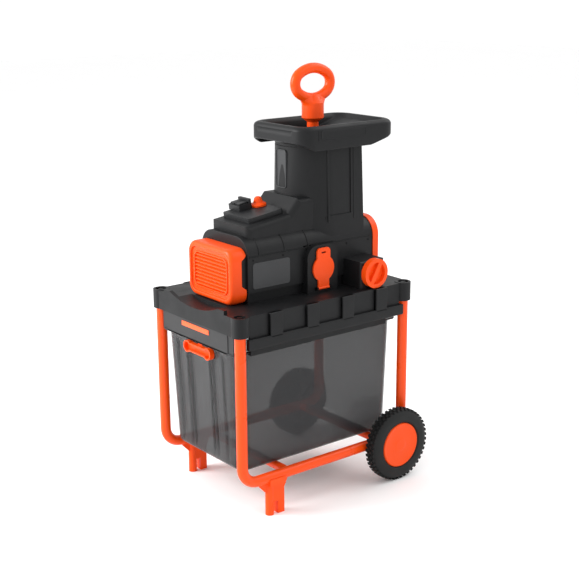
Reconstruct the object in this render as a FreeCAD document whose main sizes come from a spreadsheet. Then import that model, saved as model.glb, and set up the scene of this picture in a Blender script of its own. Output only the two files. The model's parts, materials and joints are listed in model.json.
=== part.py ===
import FreeCAD, Part
import math
import os
import Sketcher

# Electric garden chipper: tube stand on wheels, moulded deck, slide-out collection box,
# motor and crushing-roller housing, and a hopper with a push-down plunger.
# Millimetres. Z is up and the ground is z = 0. Sizes are laid out from the plan centre of the
# four legs; the finished pieces are then moved so that the plan centre of the whole machine is
# x = y = 0. The front (motor cover, box catch, feet) faces -Y and the wheels are at +Y.

# Driving dimensions, kept in the document's sheet under these names.
SIZES = {
    # general
    "fit_gap": 0.05,            # clearance all round where one fixed piece sits in another
    "running_gap": 0.08,        # radial clearance of a bearing
    "loose_gap": 0.5,           # clearance between pieces that move past each other
    "wall": 3.0,                # moulded wall thickness
    # tube stand
    "tube_radius": 12.5,
    "tube_wall": 1.5,
    "leg_x": 158.0,
    "leg_y": 242.0,
    "leg_top": 470.0,
    "rail_height": 91.0,
    "bend_radius": 42.0,
    "bar_radius": 10.0,
    "front_bar_y": -112.0,
    "rear_bar_y": 176.0,
    "plug_length": 26.0,
    # feet
    "foot_y": -167.0,
    "foot_post_radius": 10.0,
    "foot_slab_front": -155.0,
    "foot_slab_back": -131.0,
    "foot_half_width": 9.0,
    "foot_slot_top": 32.0,
    "foot_wing": 6.0,
    "foot_cradle_top": 90.0,
    # wheels
    "wheel_radius": 90.0,
    "wheel_half_width": 18.0,
    "wheel_x": 191.0,
    "wheel_y": 198.0,
    "axle_radius": 5.0,
    "hub_radius": 14.0,
    "rim_radius": 62.0,
    "tread_depth": 5.0,
    "tread_gap": 4.0,
    "cover_radius": 55.5,
    # deck
    "deck_half_width": 166.0,
    "deck_half_length": 257.0,
    "deck_bottom": 440.0,
    "deck_top": 484.0,
    "deck_plate": 4.0,
    "skirt_bottom": 408.0,
    "skirt_half_length": 226.0,
    "corner_out_x": 176.0,
    "corner_out_y": 260.0,
    "corner_in_x": 138.0,
    "corner_in_y": 222.0,
    "corner_round": 17.0,
    "lip_top": 493.0,
    "lip_depth": 9.0,
    "lip_half_width": 120.0,
    "scoop_half_width": 98.0,
    "scoop_floor": 474.0,
    "scoop_back": -213.0,
    "rib_height": 4.0,
    "rib_width": 35.0,
    "rib_pitch": 104.0,
    "rib_start": -170.0,
    "screw_radius": 3.0,
    "screw_head": 6.0,
    # collection box and its runners
    "runner_x": 150.0,
    "runner_front": -207.5,
    "runner_back": 194.0,
    "runner_foot": 8.0,
    "runner_bottom": 387.0,
    "box_wall": 2.5,
    "box_rim": 395.0,
    "box_rim_thick": 4.0,
    "box_rim_half_width": 144.9,
    "box_top_half_width": 139.0,
    "box_top_front": -244.0,
    "box_top_back": 229.0,
    "box_floor": 107.0,
    "box_floor_half_width": 135.0,
    "box_floor_front": -230.0,
    "box_floor_back": 218.0,
    "box_corner": 30.0,
    "box_groove_x": 86.0,
    "box_groove_top": 384.0,
    "strip_thick": 1.0,
    "front_panel_half_width": 122.0,
    "front_panel_top": 437.0,
    "front_panel_y": -250.0,
    "catch_x": 8.0,
    "catch_z": 376.0,
    "catch_lobe": 14.0,
    "catch_reach": 40.0,
    "catch_face": -244.4,
    "catch_depth": 12.0,
    "tongue_top": 436.0,
    # machine housing
    "house_half_width": 90.0,
    "house_front": -168.0,
    "house_back": 203.0,
    "house_seam": 592.0,
    "seam_screw": 2.5,
    "seam_screw_drop": 8.0,
    "house_top": 634.0,
    "shoulder": 42.0,
    "plinth_half_width": 82.0,
    "plinth_top": 509.0,
    "nose_half_width": 83.0,
    "nose_front": -182.0,
    "rear_cover_back": 220.0,
    "chute_half_width": 58.0,
    "chute_front": 25.0,
    "chute_back": 172.0,
    # orange motor cover
    "cover_half_width": 87.0,
    "cover_front": -211.0,
    "cover_back": -170.0,
    "cover_top": 612.0,
    "cover_corner": 25.0,
    "slot_half_width": 54.0,
    "slot_height": 4.2,
    "slot_pitch": 9.0,
    "slot_depth": 3.5,
    "cover_face": 5.0,
    "cover_notch": 13.0,
    "cover_notch_low": 523.0,
    "cover_notch_high": 593.0,
    # inspection flap and its boss
    "flap_y": 35.0,
    "flap_z": 540.0,
    "flap_radius": 31.0,
    "flap_thick": 4.0,
    "flap_top": 589.0,
    "flap_hinge_z": 494.0,
    "flap_neck": 16.0,
    "flap_tab": 19.5,
    "flap_knuckle": 3.0,
    "flap_pin": 1.5,
    "ear_width": 5.0,
    "boss_x": 105.0,
    "boss_half_width": 45.0,
    "boss_top": 596.0,
    "boss_round": 30.0,
    # adjusting knob and its boss
    "knob_x": 150.0,
    "knob_y": 149.5,
    "knob_z": 520.0,
    "knob_radius": 35.0,
    "knob_depth": 15.0,
    "knob_boss_half": 37.0,
    "knob_boss_top": 549.0,
    "screw_shaft": 6.0,
    "knob_rim": 9.0,
    "knob_dish": 9.0,
    "grip_thick": 11.0,
    "grip_angle": 60.0,
    # hopper
    "hopper_half_width": 88.0,
    "hopper_centre_y": 84.0,
    "hopper_back": 177.0,
    "hopper_taper": 5.0,
    "hopper_joint": 815.0,
    "recess_depth": 2.0,
    "funnel_half_width": 103.0,
    "funnel_front": -22.0,
    "funnel_back": 266.0,
    "funnel_corner": 26.0,
    "funnel_top": 867.0,
    "funnel_front_low": 830.0,
    "funnel_side_low": 812.0,
    # control hood
    "hood_half_width": 71.0,
    "hood_edge": 14.0,
    "hood_front": -154.0,
    "hood_front_top": 655.0,
    "hood_bend_y": -34.0,
    "hood_rise_top": 703.0,
    "hood_rise_y": -6.0,
    "panel_tilt": 7.8,
    "panel_half_width": 55.0,
    "panel_start": 22.0,
    "panel_end": 120.0,
    "panel_thick": 11.0,
    "switch_x": -40.0,
    "switch_half_width": 22.0,
    "switch_start": 46.0,
    "switch_end": 82.5,
    "dial_x": -20.0,
    "dial_y": 102.0,
    "dial_radius": 16.5,
    "dial_height": 21.0,
    # plunger
    "plunger_y": 92.0,
    "ring_centre": 953.5,
    "ring_half_length": 52.0,
    "ring_half_height": 34.5,
    "ring_end_radius": 27.0,
    "ring_bar": 12.0,
    "neck_radius": 26.0,
    "neck_bottom": 874.0,
    "stem_radius": 13.5,
    "pad_bottom": 655.0,
    "pad_thick": 16.0,
    "pad_half_width": 68.0,
    "pad_half_length": 50.0,
    # drive
    "motor_z": 548.0,
    "stator_radius": 46.0,
    "stator_front": -140.0,
    "stator_back": -70.0,
    "rotor_radius": 28.0,
    "motor_shaft": 6.0,
    "layshaft_x": -44.0,
    "layshaft_z": 567.0,
    "roller_x": -8.0,
    "roller_z": 536.0,
    "roller_radius": 42.0,
    "roller_front": 32.0,
    "roller_back": 164.0,
    "roller_shaft": 9.0,
    "pinion_radius": 10.0,
    "gear_width": 12.0,
    "first_gear_y": -40.0,
    "final_gear_y": -24.0,
    "bearing_radius": 16.0,
    "bearing_width": 10.0,
    "bracket_y": -149.0,
    "bracket_thick": 5.0,
    "gear_plate_y": -57.0,
    "gear_plate_thick": 7.0,
    "chamber_front": 14.0,
    "chamber_back": 171.0,
    "liner_x": -60.0,
    "liner_thick": 4.0,
    "fan_y": -162.0,
    "fan_radius": 34.0,
    "fan_hub": 12.0,
    "fan_depth": 10.0,
    "blade_height": 7.0,
    "blade_thick": 2.0,
    "plate_gap": 4.0,
    "plate_thick": 9.0,
    "nut_block_depth": 18.0,
    # power inlet
    "inlet_y": -110.0,
    "inlet_z": 554.0,
    "inlet_half_width": 18.0,
    "inlet_half_height": 14.0,
    "inlet_depth": 22.0,
    "inlet_wall": 3.0,
    "inlet_flange": 6.0,
    # blank labels
    "side_label_front": -155.0,
    "side_label_back": -50.0,
    "side_label_bottom": 517.0,
    "side_label_top": 577.0,
    "hopper_label_left": -26.0,
    "hopper_label_right": 20.0,
    "hopper_label_bottom": 718.0,
    "hopper_label_top": 808.0,
    "label_thick": 0.8,
}


# where the seam screws sit along the machine
SEAM_SCREW_YS = (-154, -70, 120, 188)


class Size:
    """A length that knows its number and the sheet formula behind it."""

    def __init__(self, value, formula):
        self.value = float(value)
        self.formula = formula

    def __add__(self, other):
        other = as_size(other)
        return Size(self.value + other.value, f"({self.formula} + {other.formula})")

    def __sub__(self, other):
        other = as_size(other)
        return Size(self.value - other.value, f"({self.formula} - {other.formula})")

    def __mul__(self, other):
        other = as_size(other)
        return Size(self.value * other.value, f"({self.formula} * {other.formula})")

    def __truediv__(self, other):
        other = as_size(other)
        return Size(self.value / other.value, f"({self.formula} / {other.formula})")

    def __neg__(self):
        return Size(-self.value, f"(-1 * {self.formula})")

    def __radd__(self, other):
        return as_size(other) + self

    def __rsub__(self, other):
        return as_size(other) - self

    def __rmul__(self, other):
        return as_size(other) * self


def as_size(number):
    """Let plain numbers take part in size sums."""
    if isinstance(number, Size):
        return number
    return Size(number, f"({number})")


def tangent(angle):
    """Slope of an angle held in the sheet in degrees."""
    return Size(math.tan(math.radians(angle.value)), f"tan({angle.formula} * 1 deg)")


class Sheet:
    """The document's sheet of driving dimensions, read as attributes."""

    def __init__(self, document, sizes):
        self.page = document.addObject("Spreadsheet::Sheet", "Sizes")
        for row, (name, value) in enumerate(sizes.items(), start=1):
            self.page.set(f"A{row}", name)
            self.page.set(f"B{row}", str(value))
            self.page.setAlias(f"B{row}", name)
            setattr(self, name, Size(value, f"Sizes.{name}"))


doc = FreeCAD.newDocument("chipper")
S = Sheet(doc, SIZES)
doc.recompute()

FACE_NORMAL = {"XY": "Z", "YZ": "X", "XZ": "Y"}
AXIS_VECTOR = {
    "X": FreeCAD.Vector(1, 0, 0),
    "Y": FreeCAD.Vector(0, 1, 0),
    "Z": FreeCAD.Vector(0, 0, 1),
}


# ---------------------------------------------------------------- drawing helpers

def hold(thing, path, size):
    """Tie one property of an object to its size."""
    thing.setExpression(path, as_size(size).formula)


def place(thing, x=0, y=0, z=0):
    """Tie an object's position to sizes."""
    hold(thing, "Placement.Base.x", x)
    hold(thing, "Placement.Base.y", y)
    hold(thing, "Placement.Base.z", z)
    return thing


def pin_point(sketch, geometry, end, across, up):
    """Hold one end of a sketch line at a distance across and up from the sketch origin."""
    for kind, axis, size in (("DistanceX", -2, across), ("DistanceY", -1, up)):
        size = as_size(size)
        if abs(size.value) < 1e-9:
            sketch.addConstraint(Sketcher.Constraint("PointOnObject", geometry, end, axis))
        else:
            index = sketch.addConstraint(Sketcher.Constraint(kind, -1, 1, geometry, end, size.value))
            sketch.setExpression(f"Constraints[{index}]", size.formula)


def plane_of(body, plane):
    """The body's own XY, XZ or YZ origin plane."""
    return next(f for f in body.Origin.OriginFeatures if f.Role == f"{plane}_Plane")


def new_sketch(body, plane, offset=0):
    """An empty sketch on one of the body's planes, moved along the plane's normal."""
    sketch = body.newObject("Sketcher::SketchObject", "Sketch")
    sketch.AttachmentSupport = [(plane_of(body, plane), "")]
    sketch.MapMode = "FlatFace"
    hold(sketch, "AttachmentOffset.Base.z", offset)
    return sketch


def draw_outline(sketch, points):
    """A closed outline of straight lines whose corners are held by sizes."""
    corners = [FreeCAD.Vector(as_size(a).value, as_size(b).value, 0) for a, b in points]
    count = len(corners)
    first = sketch.GeometryCount
    for i in range(count):
        sketch.addGeometry(Part.LineSegment(corners[i], corners[(i + 1) % count]), False)
    for i in range(count):
        following = first + (i + 1) % count
        sketch.addConstraint(Sketcher.Constraint("Coincident", first + i, 2, following, 1))
    for i, (across, up) in enumerate(points):
        pin_point(sketch, first + i, 1, across, up)


def draw_rounded(sketch, half_width, low, high, radius):
    """A rectangle centred on x = 0 with true arcs at its four corners."""
    inner_low = low + radius
    inner_high = high - radius
    flat = half_width - radius
    sides = [((-flat, low), (flat, low)), ((half_width, inner_low), (half_width, inner_high)),
             ((flat, high), (-flat, high)), ((-half_width, inner_high), (-half_width, inner_low))]
    for start, end in sides:
        ends = [FreeCAD.Vector(a.value, b.value, 0) for a, b in (start, end)]
        line = sketch.addGeometry(Part.LineSegment(*ends), False)
        pin_point(sketch, line, 1, *start)
        pin_point(sketch, line, 2, *end)
    centres = [(flat, inner_low), (flat, inner_high), (-flat, inner_high), (-flat, inner_low)]
    for i, (across, up) in enumerate(centres):
        circle = Part.Circle(FreeCAD.Vector(across.value, up.value, 0), FreeCAD.Vector(0, 0, 1), radius.value)
        turn = math.pi / 2
        arc = sketch.addGeometry(Part.ArcOfCircle(circle, (i - 1) * turn, i * turn), False)
        sketch.addConstraint(Sketcher.Constraint("Coincident", i, 2, arc, 1))
        sketch.addConstraint(Sketcher.Constraint("Coincident", (i + 1) % 4, 1, arc, 2))
        rule = sketch.addConstraint(Sketcher.Constraint("Radius", arc, radius.value))
        sketch.setExpression(f"Constraints[{rule}]", radius.formula)


def draw_circle(sketch, across, up, radius):
    """A circle held by its centre and radius."""
    centre = FreeCAD.Vector(as_size(across).value, as_size(up).value, 0)
    circle = Part.Circle(centre, FreeCAD.Vector(0, 0, 1), as_size(radius).value)
    index = sketch.addGeometry(circle, False)
    pin_point(sketch, index, 3, across, up)
    rule = sketch.addConstraint(Sketcher.Constraint("Radius", index, as_size(radius).value))
    sketch.setExpression(f"Constraints[{rule}]", as_size(radius).formula)


def new_body(label):
    body = doc.addObject("PartDesign::Body", "Body")
    body.Label = label
    return body


def pad(body, sketch, length):
    feature = body.newObject("PartDesign::Pad", "Pad")
    feature.Profile = sketch
    hold(feature, "Length", length)
    sketch.Visibility = False
    body.Tip = feature
    return feature


def span(plane, low, high):
    """Where the sketch sits so that a pad runs from low to high along the plane's normal."""
    return -as_size(high) if plane == "XZ" else low


def extruded(label, plane, points, low, high):
    """A straight-sided solid: an outline on a plane, padded from low to high."""
    body = new_body(label)
    sketch = new_sketch(body, plane, span(plane, low, high))
    draw_outline(sketch, points)
    pad(body, sketch, as_size(high) - low)
    return body


def round_edges(body, radius, wanted):
    """Round every edge of the body's latest feature that the test picks out."""
    doc.recompute()
    before = body.Tip
    names = [f"Edge{i}" for i, edge in enumerate(before.Shape.Edges, start=1) if wanted(edge)]
    feature = body.newObject("PartDesign::Fillet", "Fillet")
    feature.Base = (before, names)
    hold(feature, "Radius", radius)
    body.Tip = feature
    return body


def parallel_to(axis):
    """Edge test: straight and parallel to an axis."""
    def wanted(edge):
        if not isinstance(edge.Curve, (Part.Line, Part.LineSegment)):
            return False
        return abs(abs(edge.tangentAt(edge.FirstParameter).dot(AXIS_VECTOR[axis])) - 1) < 1e-6
    return wanted


def lying_at(axis, size):
    """Edge test: every part of the edge has this coordinate."""
    level = as_size(size).value

    def wanted(edge):
        extent = edge.BoundBox
        low, high = {"X": (extent.XMin, extent.XMax),
                     "Y": (extent.YMin, extent.YMax),
                     "Z": (extent.ZMin, extent.ZMax)}[axis]
        return abs(low - level) < 1e-3 and abs(high - level) < 1e-3
    return wanted


def rectangle(half_width, low, high):
    """Outline of a rectangle centred on x = 0."""
    return [(-half_width, low), (half_width, low), (half_width, high), (-half_width, high)]


def box(label, x, y, z):
    """A block between two x, two y and two z."""
    block = doc.addObject("Part::Box", "Block")
    block.Label = label
    for name, (low, high) in (("Length", x), ("Width", y), ("Height", z)):
        hold(block, name, as_size(high) - low)
    return place(block, x[0], y[0], z[0])


def rod(label, axis, radius, low, high, x=0, y=0, z=0):
    """A round rod along an axis from low to high, through the point x, y, z."""
    bar = doc.addObject("Part::Cylinder", "Rod")
    bar.Label = label
    hold(bar, "Radius", radius)
    hold(bar, "Height", as_size(high) - low)
    bar.Placement.Rotation = FreeCAD.Rotation(FreeCAD.Vector(0, 0, 1), AXIS_VECTOR[axis])
    start = {"X": (low, y, z), "Y": (x, low, z), "Z": (x, y, low)}[axis]
    return place(bar, *start)


def cut(label, base, *tools):
    """The base with every tool taken away."""
    result = doc.addObject("Part::Cut", "Cut")
    result.Base = base
    result.Tool = tools[0] if len(tools) == 1 else fuse("tools", *tools)
    result.Label = label
    return result


def fuse(label, *pieces):
    """One solid out of several overlapping ones."""
    result = doc.addObject("Part::MultiFuse", "Fuse")
    result.Shapes = list(pieces)
    result.Refine = True
    result.Label = label
    return result


def common(label, *pieces):
    """What several solids share."""
    result = doc.addObject("Part::MultiCommon", "Common")
    result.Shapes = list(pieces)
    result.Label = label
    return result


def group(label, *pieces):
    """Identical loose pieces kept together under one name."""
    result = doc.addObject("Part::Compound", "Group")
    result.Links = list(pieces)
    result.Label = label
    return result


def mirrored(label, source):
    """The same piece on the other side of the machine."""
    result = doc.addObject("Part::Mirroring", "Mirror")
    result.Source = source
    result.Normal = FreeCAD.Vector(1, 0, 0)
    result.Label = label
    return result


def turned(label, points):
    """A solid of revolution about its own z axis; points are radius and height."""
    body = new_body(label)
    sketch = new_sketch(body, "XZ")
    draw_outline(sketch, points)
    feature = body.newObject("PartDesign::Revolution", "Revolution")
    feature.Profile = sketch
    feature.ReferenceAxis = (sketch, ["V_Axis"])
    feature.Angle = 360
    sketch.Visibility = False
    body.Tip = feature
    return body


def facing(thing, axis, x=0, y=0, z=0):
    """Turn a piece drawn along z so it runs along an axis, then place it."""
    thing.Placement.Rotation = FreeCAD.Rotation(FreeCAD.Vector(0, 0, 1), AXIS_VECTOR[axis])
    return place(thing, x, y, z)


def lofted(label, sections):
    """A solid with straight sides between rounded rectangles drawn at different heights.

    Each section is its height, half width, lowest y, highest y and corner radius.
    """
    body = new_body(label)
    sketches = []
    for height, *shape in sections:
        sketch = new_sketch(body, "XY", height)
        draw_rounded(sketch, *(as_size(size) for size in shape))
        sketches.append(sketch)
    feature = body.newObject("PartDesign::AdditiveLoft", "Loft")
    feature.Profile = sketches[0]
    feature.Sections = sketches[1:]
    feature.Ruled = True
    for sketch in sketches:
        sketch.Visibility = False
    body.Tip = feature
    return body


# ---------------------------------------------------------------- tube stand

def bent_tube(label):
    """One U-shaped side of the stand: front leg, bottom rail and rear leg in one tube."""
    body = new_body(label)
    path = new_sketch(body, "YZ", S.leg_x)
    turn_y = S.leg_y - S.bend_radius
    turn_z = S.rail_height + S.bend_radius
    stops = [(-S.leg_y, S.leg_top), (-S.leg_y, turn_z), (-turn_y, S.rail_height),
             (turn_y, S.rail_height), (S.leg_y, turn_z), (S.leg_y, S.leg_top)]
    for start, end in ((0, 1), (2, 3), (4, 5)):
        ends = [FreeCAD.Vector(a.value, b.value, 0) for a, b in (stops[start], stops[end])]
        line = path.addGeometry(Part.LineSegment(*ends), False)
        pin_point(path, line, 1, *stops[start])
        pin_point(path, line, 2, *stops[end])
    for side, first, last, before, after in ((-1, 180, 270, 0, 1), (1, 270, 360, 1, 2)):
        centre = FreeCAD.Vector(side * turn_y.value, turn_z.value, 0)
        circle = Part.Circle(centre, FreeCAD.Vector(0, 0, 1), S.bend_radius.value)
        arc = path.addGeometry(Part.ArcOfCircle(circle, math.radians(first), math.radians(last)), False)
        path.addConstraint(Sketcher.Constraint("Coincident", before, 2, arc, 1))
        path.addConstraint(Sketcher.Constraint("Coincident", after, 1, arc, 2))
        rule = path.addConstraint(Sketcher.Constraint("Radius", arc, S.bend_radius.value))
        path.setExpression(f"Constraints[{rule}]", S.bend_radius.formula)
    section = new_sketch(body, "XY", S.leg_top)
    draw_circle(section, S.leg_x, -S.leg_y, S.tube_radius)
    draw_circle(section, S.leg_x, -S.leg_y, S.tube_radius - S.tube_wall)
    pipe = body.newObject("PartDesign::AdditivePipe", "Pipe")
    pipe.Profile = section
    pipe.Spine = (path, ["Edge1", "Edge4", "Edge2", "Edge5", "Edge3"])
    pipe.Transition = "Transformed"
    body.Tip = pipe
    return body


def side_frame():
    axle_hole = rod("axle_hole", "X", S.axle_radius + S.fit_gap, S.leg_x - 20, S.leg_x + 20,
                    y=S.wheel_y, z=S.wheel_radius)
    return cut("side_frame_right", bent_tube("right_tube"), axle_hole)


def cross_bar(label, y):
    """A straight tube between the two bottom rails, its ends shaped to fit round them."""
    outer = rod("bar", "X", S.bar_radius, -S.leg_x, S.leg_x, y=y, z=S.rail_height)
    bore = rod("bore", "X", S.bar_radius - S.tube_wall, -S.leg_x, S.leg_x, y=y, z=S.rail_height)
    rails = [rod("rail", "Y", S.tube_radius + S.fit_gap, y - 30, y + 30, x=side * S.leg_x, z=S.rail_height)
             for side in (-1, 1)]
    return cut(label, outer, bore, *rails)


def axle():
    return rod("axle", "X", S.axle_radius, -(S.wheel_x + 12), S.wheel_x + 12,
               y=S.wheel_y, z=S.wheel_radius)


def axle_rings(label, inner, outer, radius):
    """A pair of rings on the axle, one each side of the machine."""
    rings = []
    for side in (-1, 1):
        low, high = (inner, outer) if side > 0 else (-outer, -inner)
        disc = rod("disc", "X", radius, low, high, y=S.wheel_y, z=S.wheel_radius)
        hole = rod("hole", "X", S.axle_radius + S.fit_gap, low - 1, high + 1, y=S.wheel_y, z=S.wheel_radius)
        rings.append(cut("ring", disc, hole))
    return group(label, *rings)


def foot():
    """Moulded foot clipped under the rail: round post in front, slab behind, two gussets."""
    post = rod("post", "Z", S.foot_post_radius, 0, S.rail_height, x=S.leg_x, y=S.foot_y)
    left = S.leg_x - S.foot_half_width
    right = S.leg_x + S.foot_half_width
    slab = box("slab", (left, right), (S.foot_slab_front + 6, S.foot_slab_back), (0, S.rail_height))
    web = box("web", (left, right), (S.foot_y, S.foot_slab_back), (S.foot_slot_top, S.rail_height))
    under_rail = S.rail_height - S.tube_radius
    wing = extruded("wing", "YZ",
                    [(S.foot_y - 33, under_rail + 3), (S.foot_y - 30, under_rail - 3),
                     (S.foot_y, under_rail - 34), (S.foot_slab_back - 2, under_rail - 34),
                     (S.foot_slab_back + 13, under_rail - 3), (S.foot_slab_back + 16, under_rail + 3)],
                    S.leg_x - S.foot_wing / 2, S.leg_x + S.foot_wing / 2)
    cradle_half = S.tube_radius + 2.5
    cradle = box("cradle", (S.leg_x - cradle_half, S.leg_x + cradle_half),
                 (S.foot_y - 8, S.foot_slab_back), (under_rail - 6, S.foot_cradle_top))
    tube = rod("tube", "Y", S.tube_radius + S.fit_gap, S.foot_y - 60, S.foot_slab_back + 60,
               x=S.leg_x, z=S.rail_height)
    return cut("foot_right", fuse("foot_block", post, slab, web, wing, cradle), tube)


def leg_plugs():
    """Plastic plugs in the four leg tops that the deck screws bite into."""
    plugs = []
    for across in (-1, 1):
        for along in (-1, 1):
            x = across * S.leg_x
            y = along * S.leg_y
            outer = rod("plug", "Z", S.tube_radius - S.tube_wall - S.fit_gap,
                        S.leg_top - S.plug_length, S.leg_top, x=x, y=y)
            hole = rod("hole", "Z", S.screw_radius + S.fit_gap, S.leg_top - 20, S.leg_top + 1, x=x, y=y)
            plugs.append(cut("plug", outer, hole))
    return group("leg_plugs", *plugs)


# ---------------------------------------------------------------- wheels

def wheel():
    """Hard plastic wheel with a tread, drawn flat and then stood up on the axle line."""
    half = S.wheel_half_width
    bore = S.axle_radius + S.running_gap
    tread = S.wheel_radius - 4
    body = turned("wheel_blank", [
        (bore, -half + 1), (S.hub_radius, -half + 1), (S.hub_radius, -3), (S.rim_radius, -3),
        (S.rim_radius, -half), (tread - 4, -half), (S.wheel_radius, -half + 7),
        (S.wheel_radius, half - 7), (tread - 4, half), (S.rim_radius, half),
        (S.rim_radius, 3), (S.hub_radius, 3), (S.hub_radius, half - 10), (bore, half - 10)])
    notch = new_sketch(body, "XZ", -S.wheel_radius - 2)
    draw_outline(notch, [(-S.tread_gap / 2, half - 9), (S.tread_gap / 2, half - 9),
                         (S.tread_gap / 2, half + 2), (-S.tread_gap / 2, half + 2)])
    groove = body.newObject("PartDesign::Pocket", "Groove")
    groove.Profile = notch
    hold(groove, "Length", S.tread_depth + 2)
    groove.Reversed = False
    body.Tip = groove
    other = new_sketch(body, "XZ", -S.wheel_radius - 2)
    draw_outline(other, [(-S.tread_gap / 2, -half - 2), (S.tread_gap / 2, -half - 2),
                         (S.tread_gap / 2, 9 - half), (-S.tread_gap / 2, 9 - half)])
    groove_back = body.newObject("PartDesign::Pocket", "GrooveBack")
    groove_back.Profile = other
    hold(groove_back, "Length", S.tread_depth + 2)
    body.Tip = groove_back
    ring = body.newObject("PartDesign::PolarPattern", "Tread")
    ring.Originals = [groove, groove_back]
    ring.Axis = (notch, ["V_Axis"])
    ring.Angle = 360
    ring.Occurrences = 36
    body.Tip = ring
    body.Label = "wheel_right"
    return facing(body, "X", S.wheel_x, S.wheel_y, S.wheel_radius)


def wheel_cover():
    """Orange dished cap that clips over the hub and hides the axle end."""
    face = S.wheel_half_width - 1
    seat = 3 + S.fit_gap
    body = turned("wheel_cover_right", [
        (0, face - 2.5), (14, face - 2.5), (18, face - 5), (S.cover_radius - 3, face - 5),
        (S.cover_radius - 3, seat), (S.cover_radius, seat), (S.cover_radius, face - 3),
        (S.cover_radius - 4, face), (22, face - 2), (16, face), (0, face)])
    return facing(body, "X", S.wheel_x, S.wheel_y, S.wheel_radius)


# ---------------------------------------------------------------- deck

def corner_block(across, along):
    """A leg socket block, rounded on the outside, with a sunk screw seat on top."""
    xs = (S.corner_in_x, S.corner_out_x) if across > 0 else (-S.corner_out_x, -S.corner_in_x)
    ys = (S.corner_in_y, S.corner_out_y) if along > 0 else (-S.corner_out_y, -S.corner_in_y)
    body = extruded("corner", "XY", [(xs[0], ys[0]), (xs[1], ys[0]), (xs[1], ys[1]), (xs[0], ys[1])],
                    S.deck_bottom, S.deck_top + 1)
    return round_edges(body, S.corner_round, parallel_to("Z"))


def deck_ribs(side):
    """Raised ribs along one side of the deck."""
    xs = (S.deck_half_width - 1, S.deck_half_width + S.rib_height)
    if side < 0:
        xs = (-xs[1], -xs[0])
    ribs = []
    for i in range(4):
        start = S.rib_start + S.rib_pitch * i
        ribs.append(box("rib", xs, (start, start + S.rib_width), (S.skirt_bottom + 14, S.deck_top)))
    return ribs


def deck_shell():
    block = extruded("deck_block", "XY",
                     rectangle(S.deck_half_width, -S.deck_half_length, S.deck_half_length),
                     S.deck_bottom, S.deck_top)
    round_edges(block, S.corner_round, parallel_to("Z"))
    pieces = [block]
    pieces += [corner_block(across, along) for across in (-1, 1) for along in (-1, 1)]
    for side in (-1, 1):
        xs = (S.deck_half_width - 5, S.deck_half_width)
        if side < 0:
            xs = (-xs[1], -xs[0])
        pieces.append(box("skirt", xs, (-S.skirt_half_length + 4, S.skirt_half_length - 4),
                          (S.skirt_bottom, S.deck_bottom + 1)))
        pieces += deck_ribs(side)
    pieces.append(box("lip", (-S.lip_half_width, S.lip_half_width),
                      (-S.deck_half_length, S.lip_depth - S.deck_half_length), (S.deck_bottom, S.lip_top)))
    return fuse("deck_outer", *pieces)


def deck():
    """The moulded deck that ties the legs together and carries the machine."""
    half_y = S.deck_half_length
    void_y = (S.scoop_back + 5, half_y - S.wall - 2)
    inner_x = S.deck_half_width - 5
    # two hollows underneath; the front one is shallower because of the scoop above it
    main_void = box("main_void", (-inner_x, inner_x), void_y, (S.deck_bottom - 1, S.deck_top - S.deck_plate))
    front_void = box("front_void", (-inner_x, inner_x), (5 - half_y, S.scoop_back + 6),
                     (S.deck_bottom - 1, S.scoop_floor - S.deck_plate))
    keep = [corner_block(across, along) for across in (-1, 1) for along in (-1, 1)]
    voids = cut("voids", fuse("void_pair", main_void, front_void), *keep)
    depth = S.lip_top - S.scoop_floor
    scoop_radius = (S.scoop_half_width * S.scoop_half_width + depth * depth) / (2 * depth)
    scoop = rod("scoop", "Y", scoop_radius, -half_y - 5, S.scoop_back, z=S.scoop_floor + scoop_radius)
    chute = box("chute_hole", (-S.chute_half_width, S.chute_half_width),
                (S.chute_front, S.chute_back), (S.deck_bottom, S.deck_top + 5))
    tools = [voids, scoop, chute]
    for across in (-1, 1):
        for along in (-1, 1):
            x = across * S.leg_x
            y = along * S.leg_y
            for label, radius, low, high in (
                    ("socket", S.tube_radius + S.fit_gap, S.deck_bottom - 5, S.leg_top + S.fit_gap),
                    ("seat", S.screw_head + 7, S.deck_top - 4, S.deck_top + 5),
                    ("screw_hole", S.screw_radius + S.fit_gap, S.leg_top - 5, S.deck_top)):
                tools.append(rod(label, "Z", radius, low, high, x=x, y=y))
    return cut("deck", deck_shell(), *tools)


def deck_screws():
    screws = []
    for across in (-1, 1):
        for along in (-1, 1):
            x = across * S.leg_x
            y = along * S.leg_y
            shank = rod("shank", "Z", S.screw_radius, S.leg_top - 18, S.deck_top - 3, x=x, y=y)
            head = rod("head", "Z", S.screw_head, S.deck_top - 4 + S.fit_gap, S.deck_top, x=x, y=y)
            screws.append(fuse("screw", shank, head))
    return group("deck_screws", *screws)


def runner():
    """L-shaped rail under one side of the deck that the box rim slides on."""
    outer = S.runner_x
    return extruded("box_runner_right", "XZ", [
        (outer - S.wall, S.deck_top - S.deck_plate - S.fit_gap), (outer - S.wall, S.runner_bottom + S.wall),
        (outer - S.runner_foot, S.runner_bottom + S.wall), (outer - S.runner_foot, S.runner_bottom),
        (outer, S.runner_bottom), (outer, S.deck_top - S.deck_plate - S.fit_gap)],
        S.runner_front, S.runner_back)


# ---------------------------------------------------------------- collection box

def box_body(label, inset, floor, top):
    """The box's tapering body, made smaller by an inset."""
    corner = S.box_corner - inset
    return lofted(label, [
        (floor, S.box_floor_half_width - inset, S.box_floor_front + inset, S.box_floor_back - inset, corner),
        (top, S.box_top_half_width - inset, S.box_top_front + inset, S.box_top_back - inset, corner)])


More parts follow.
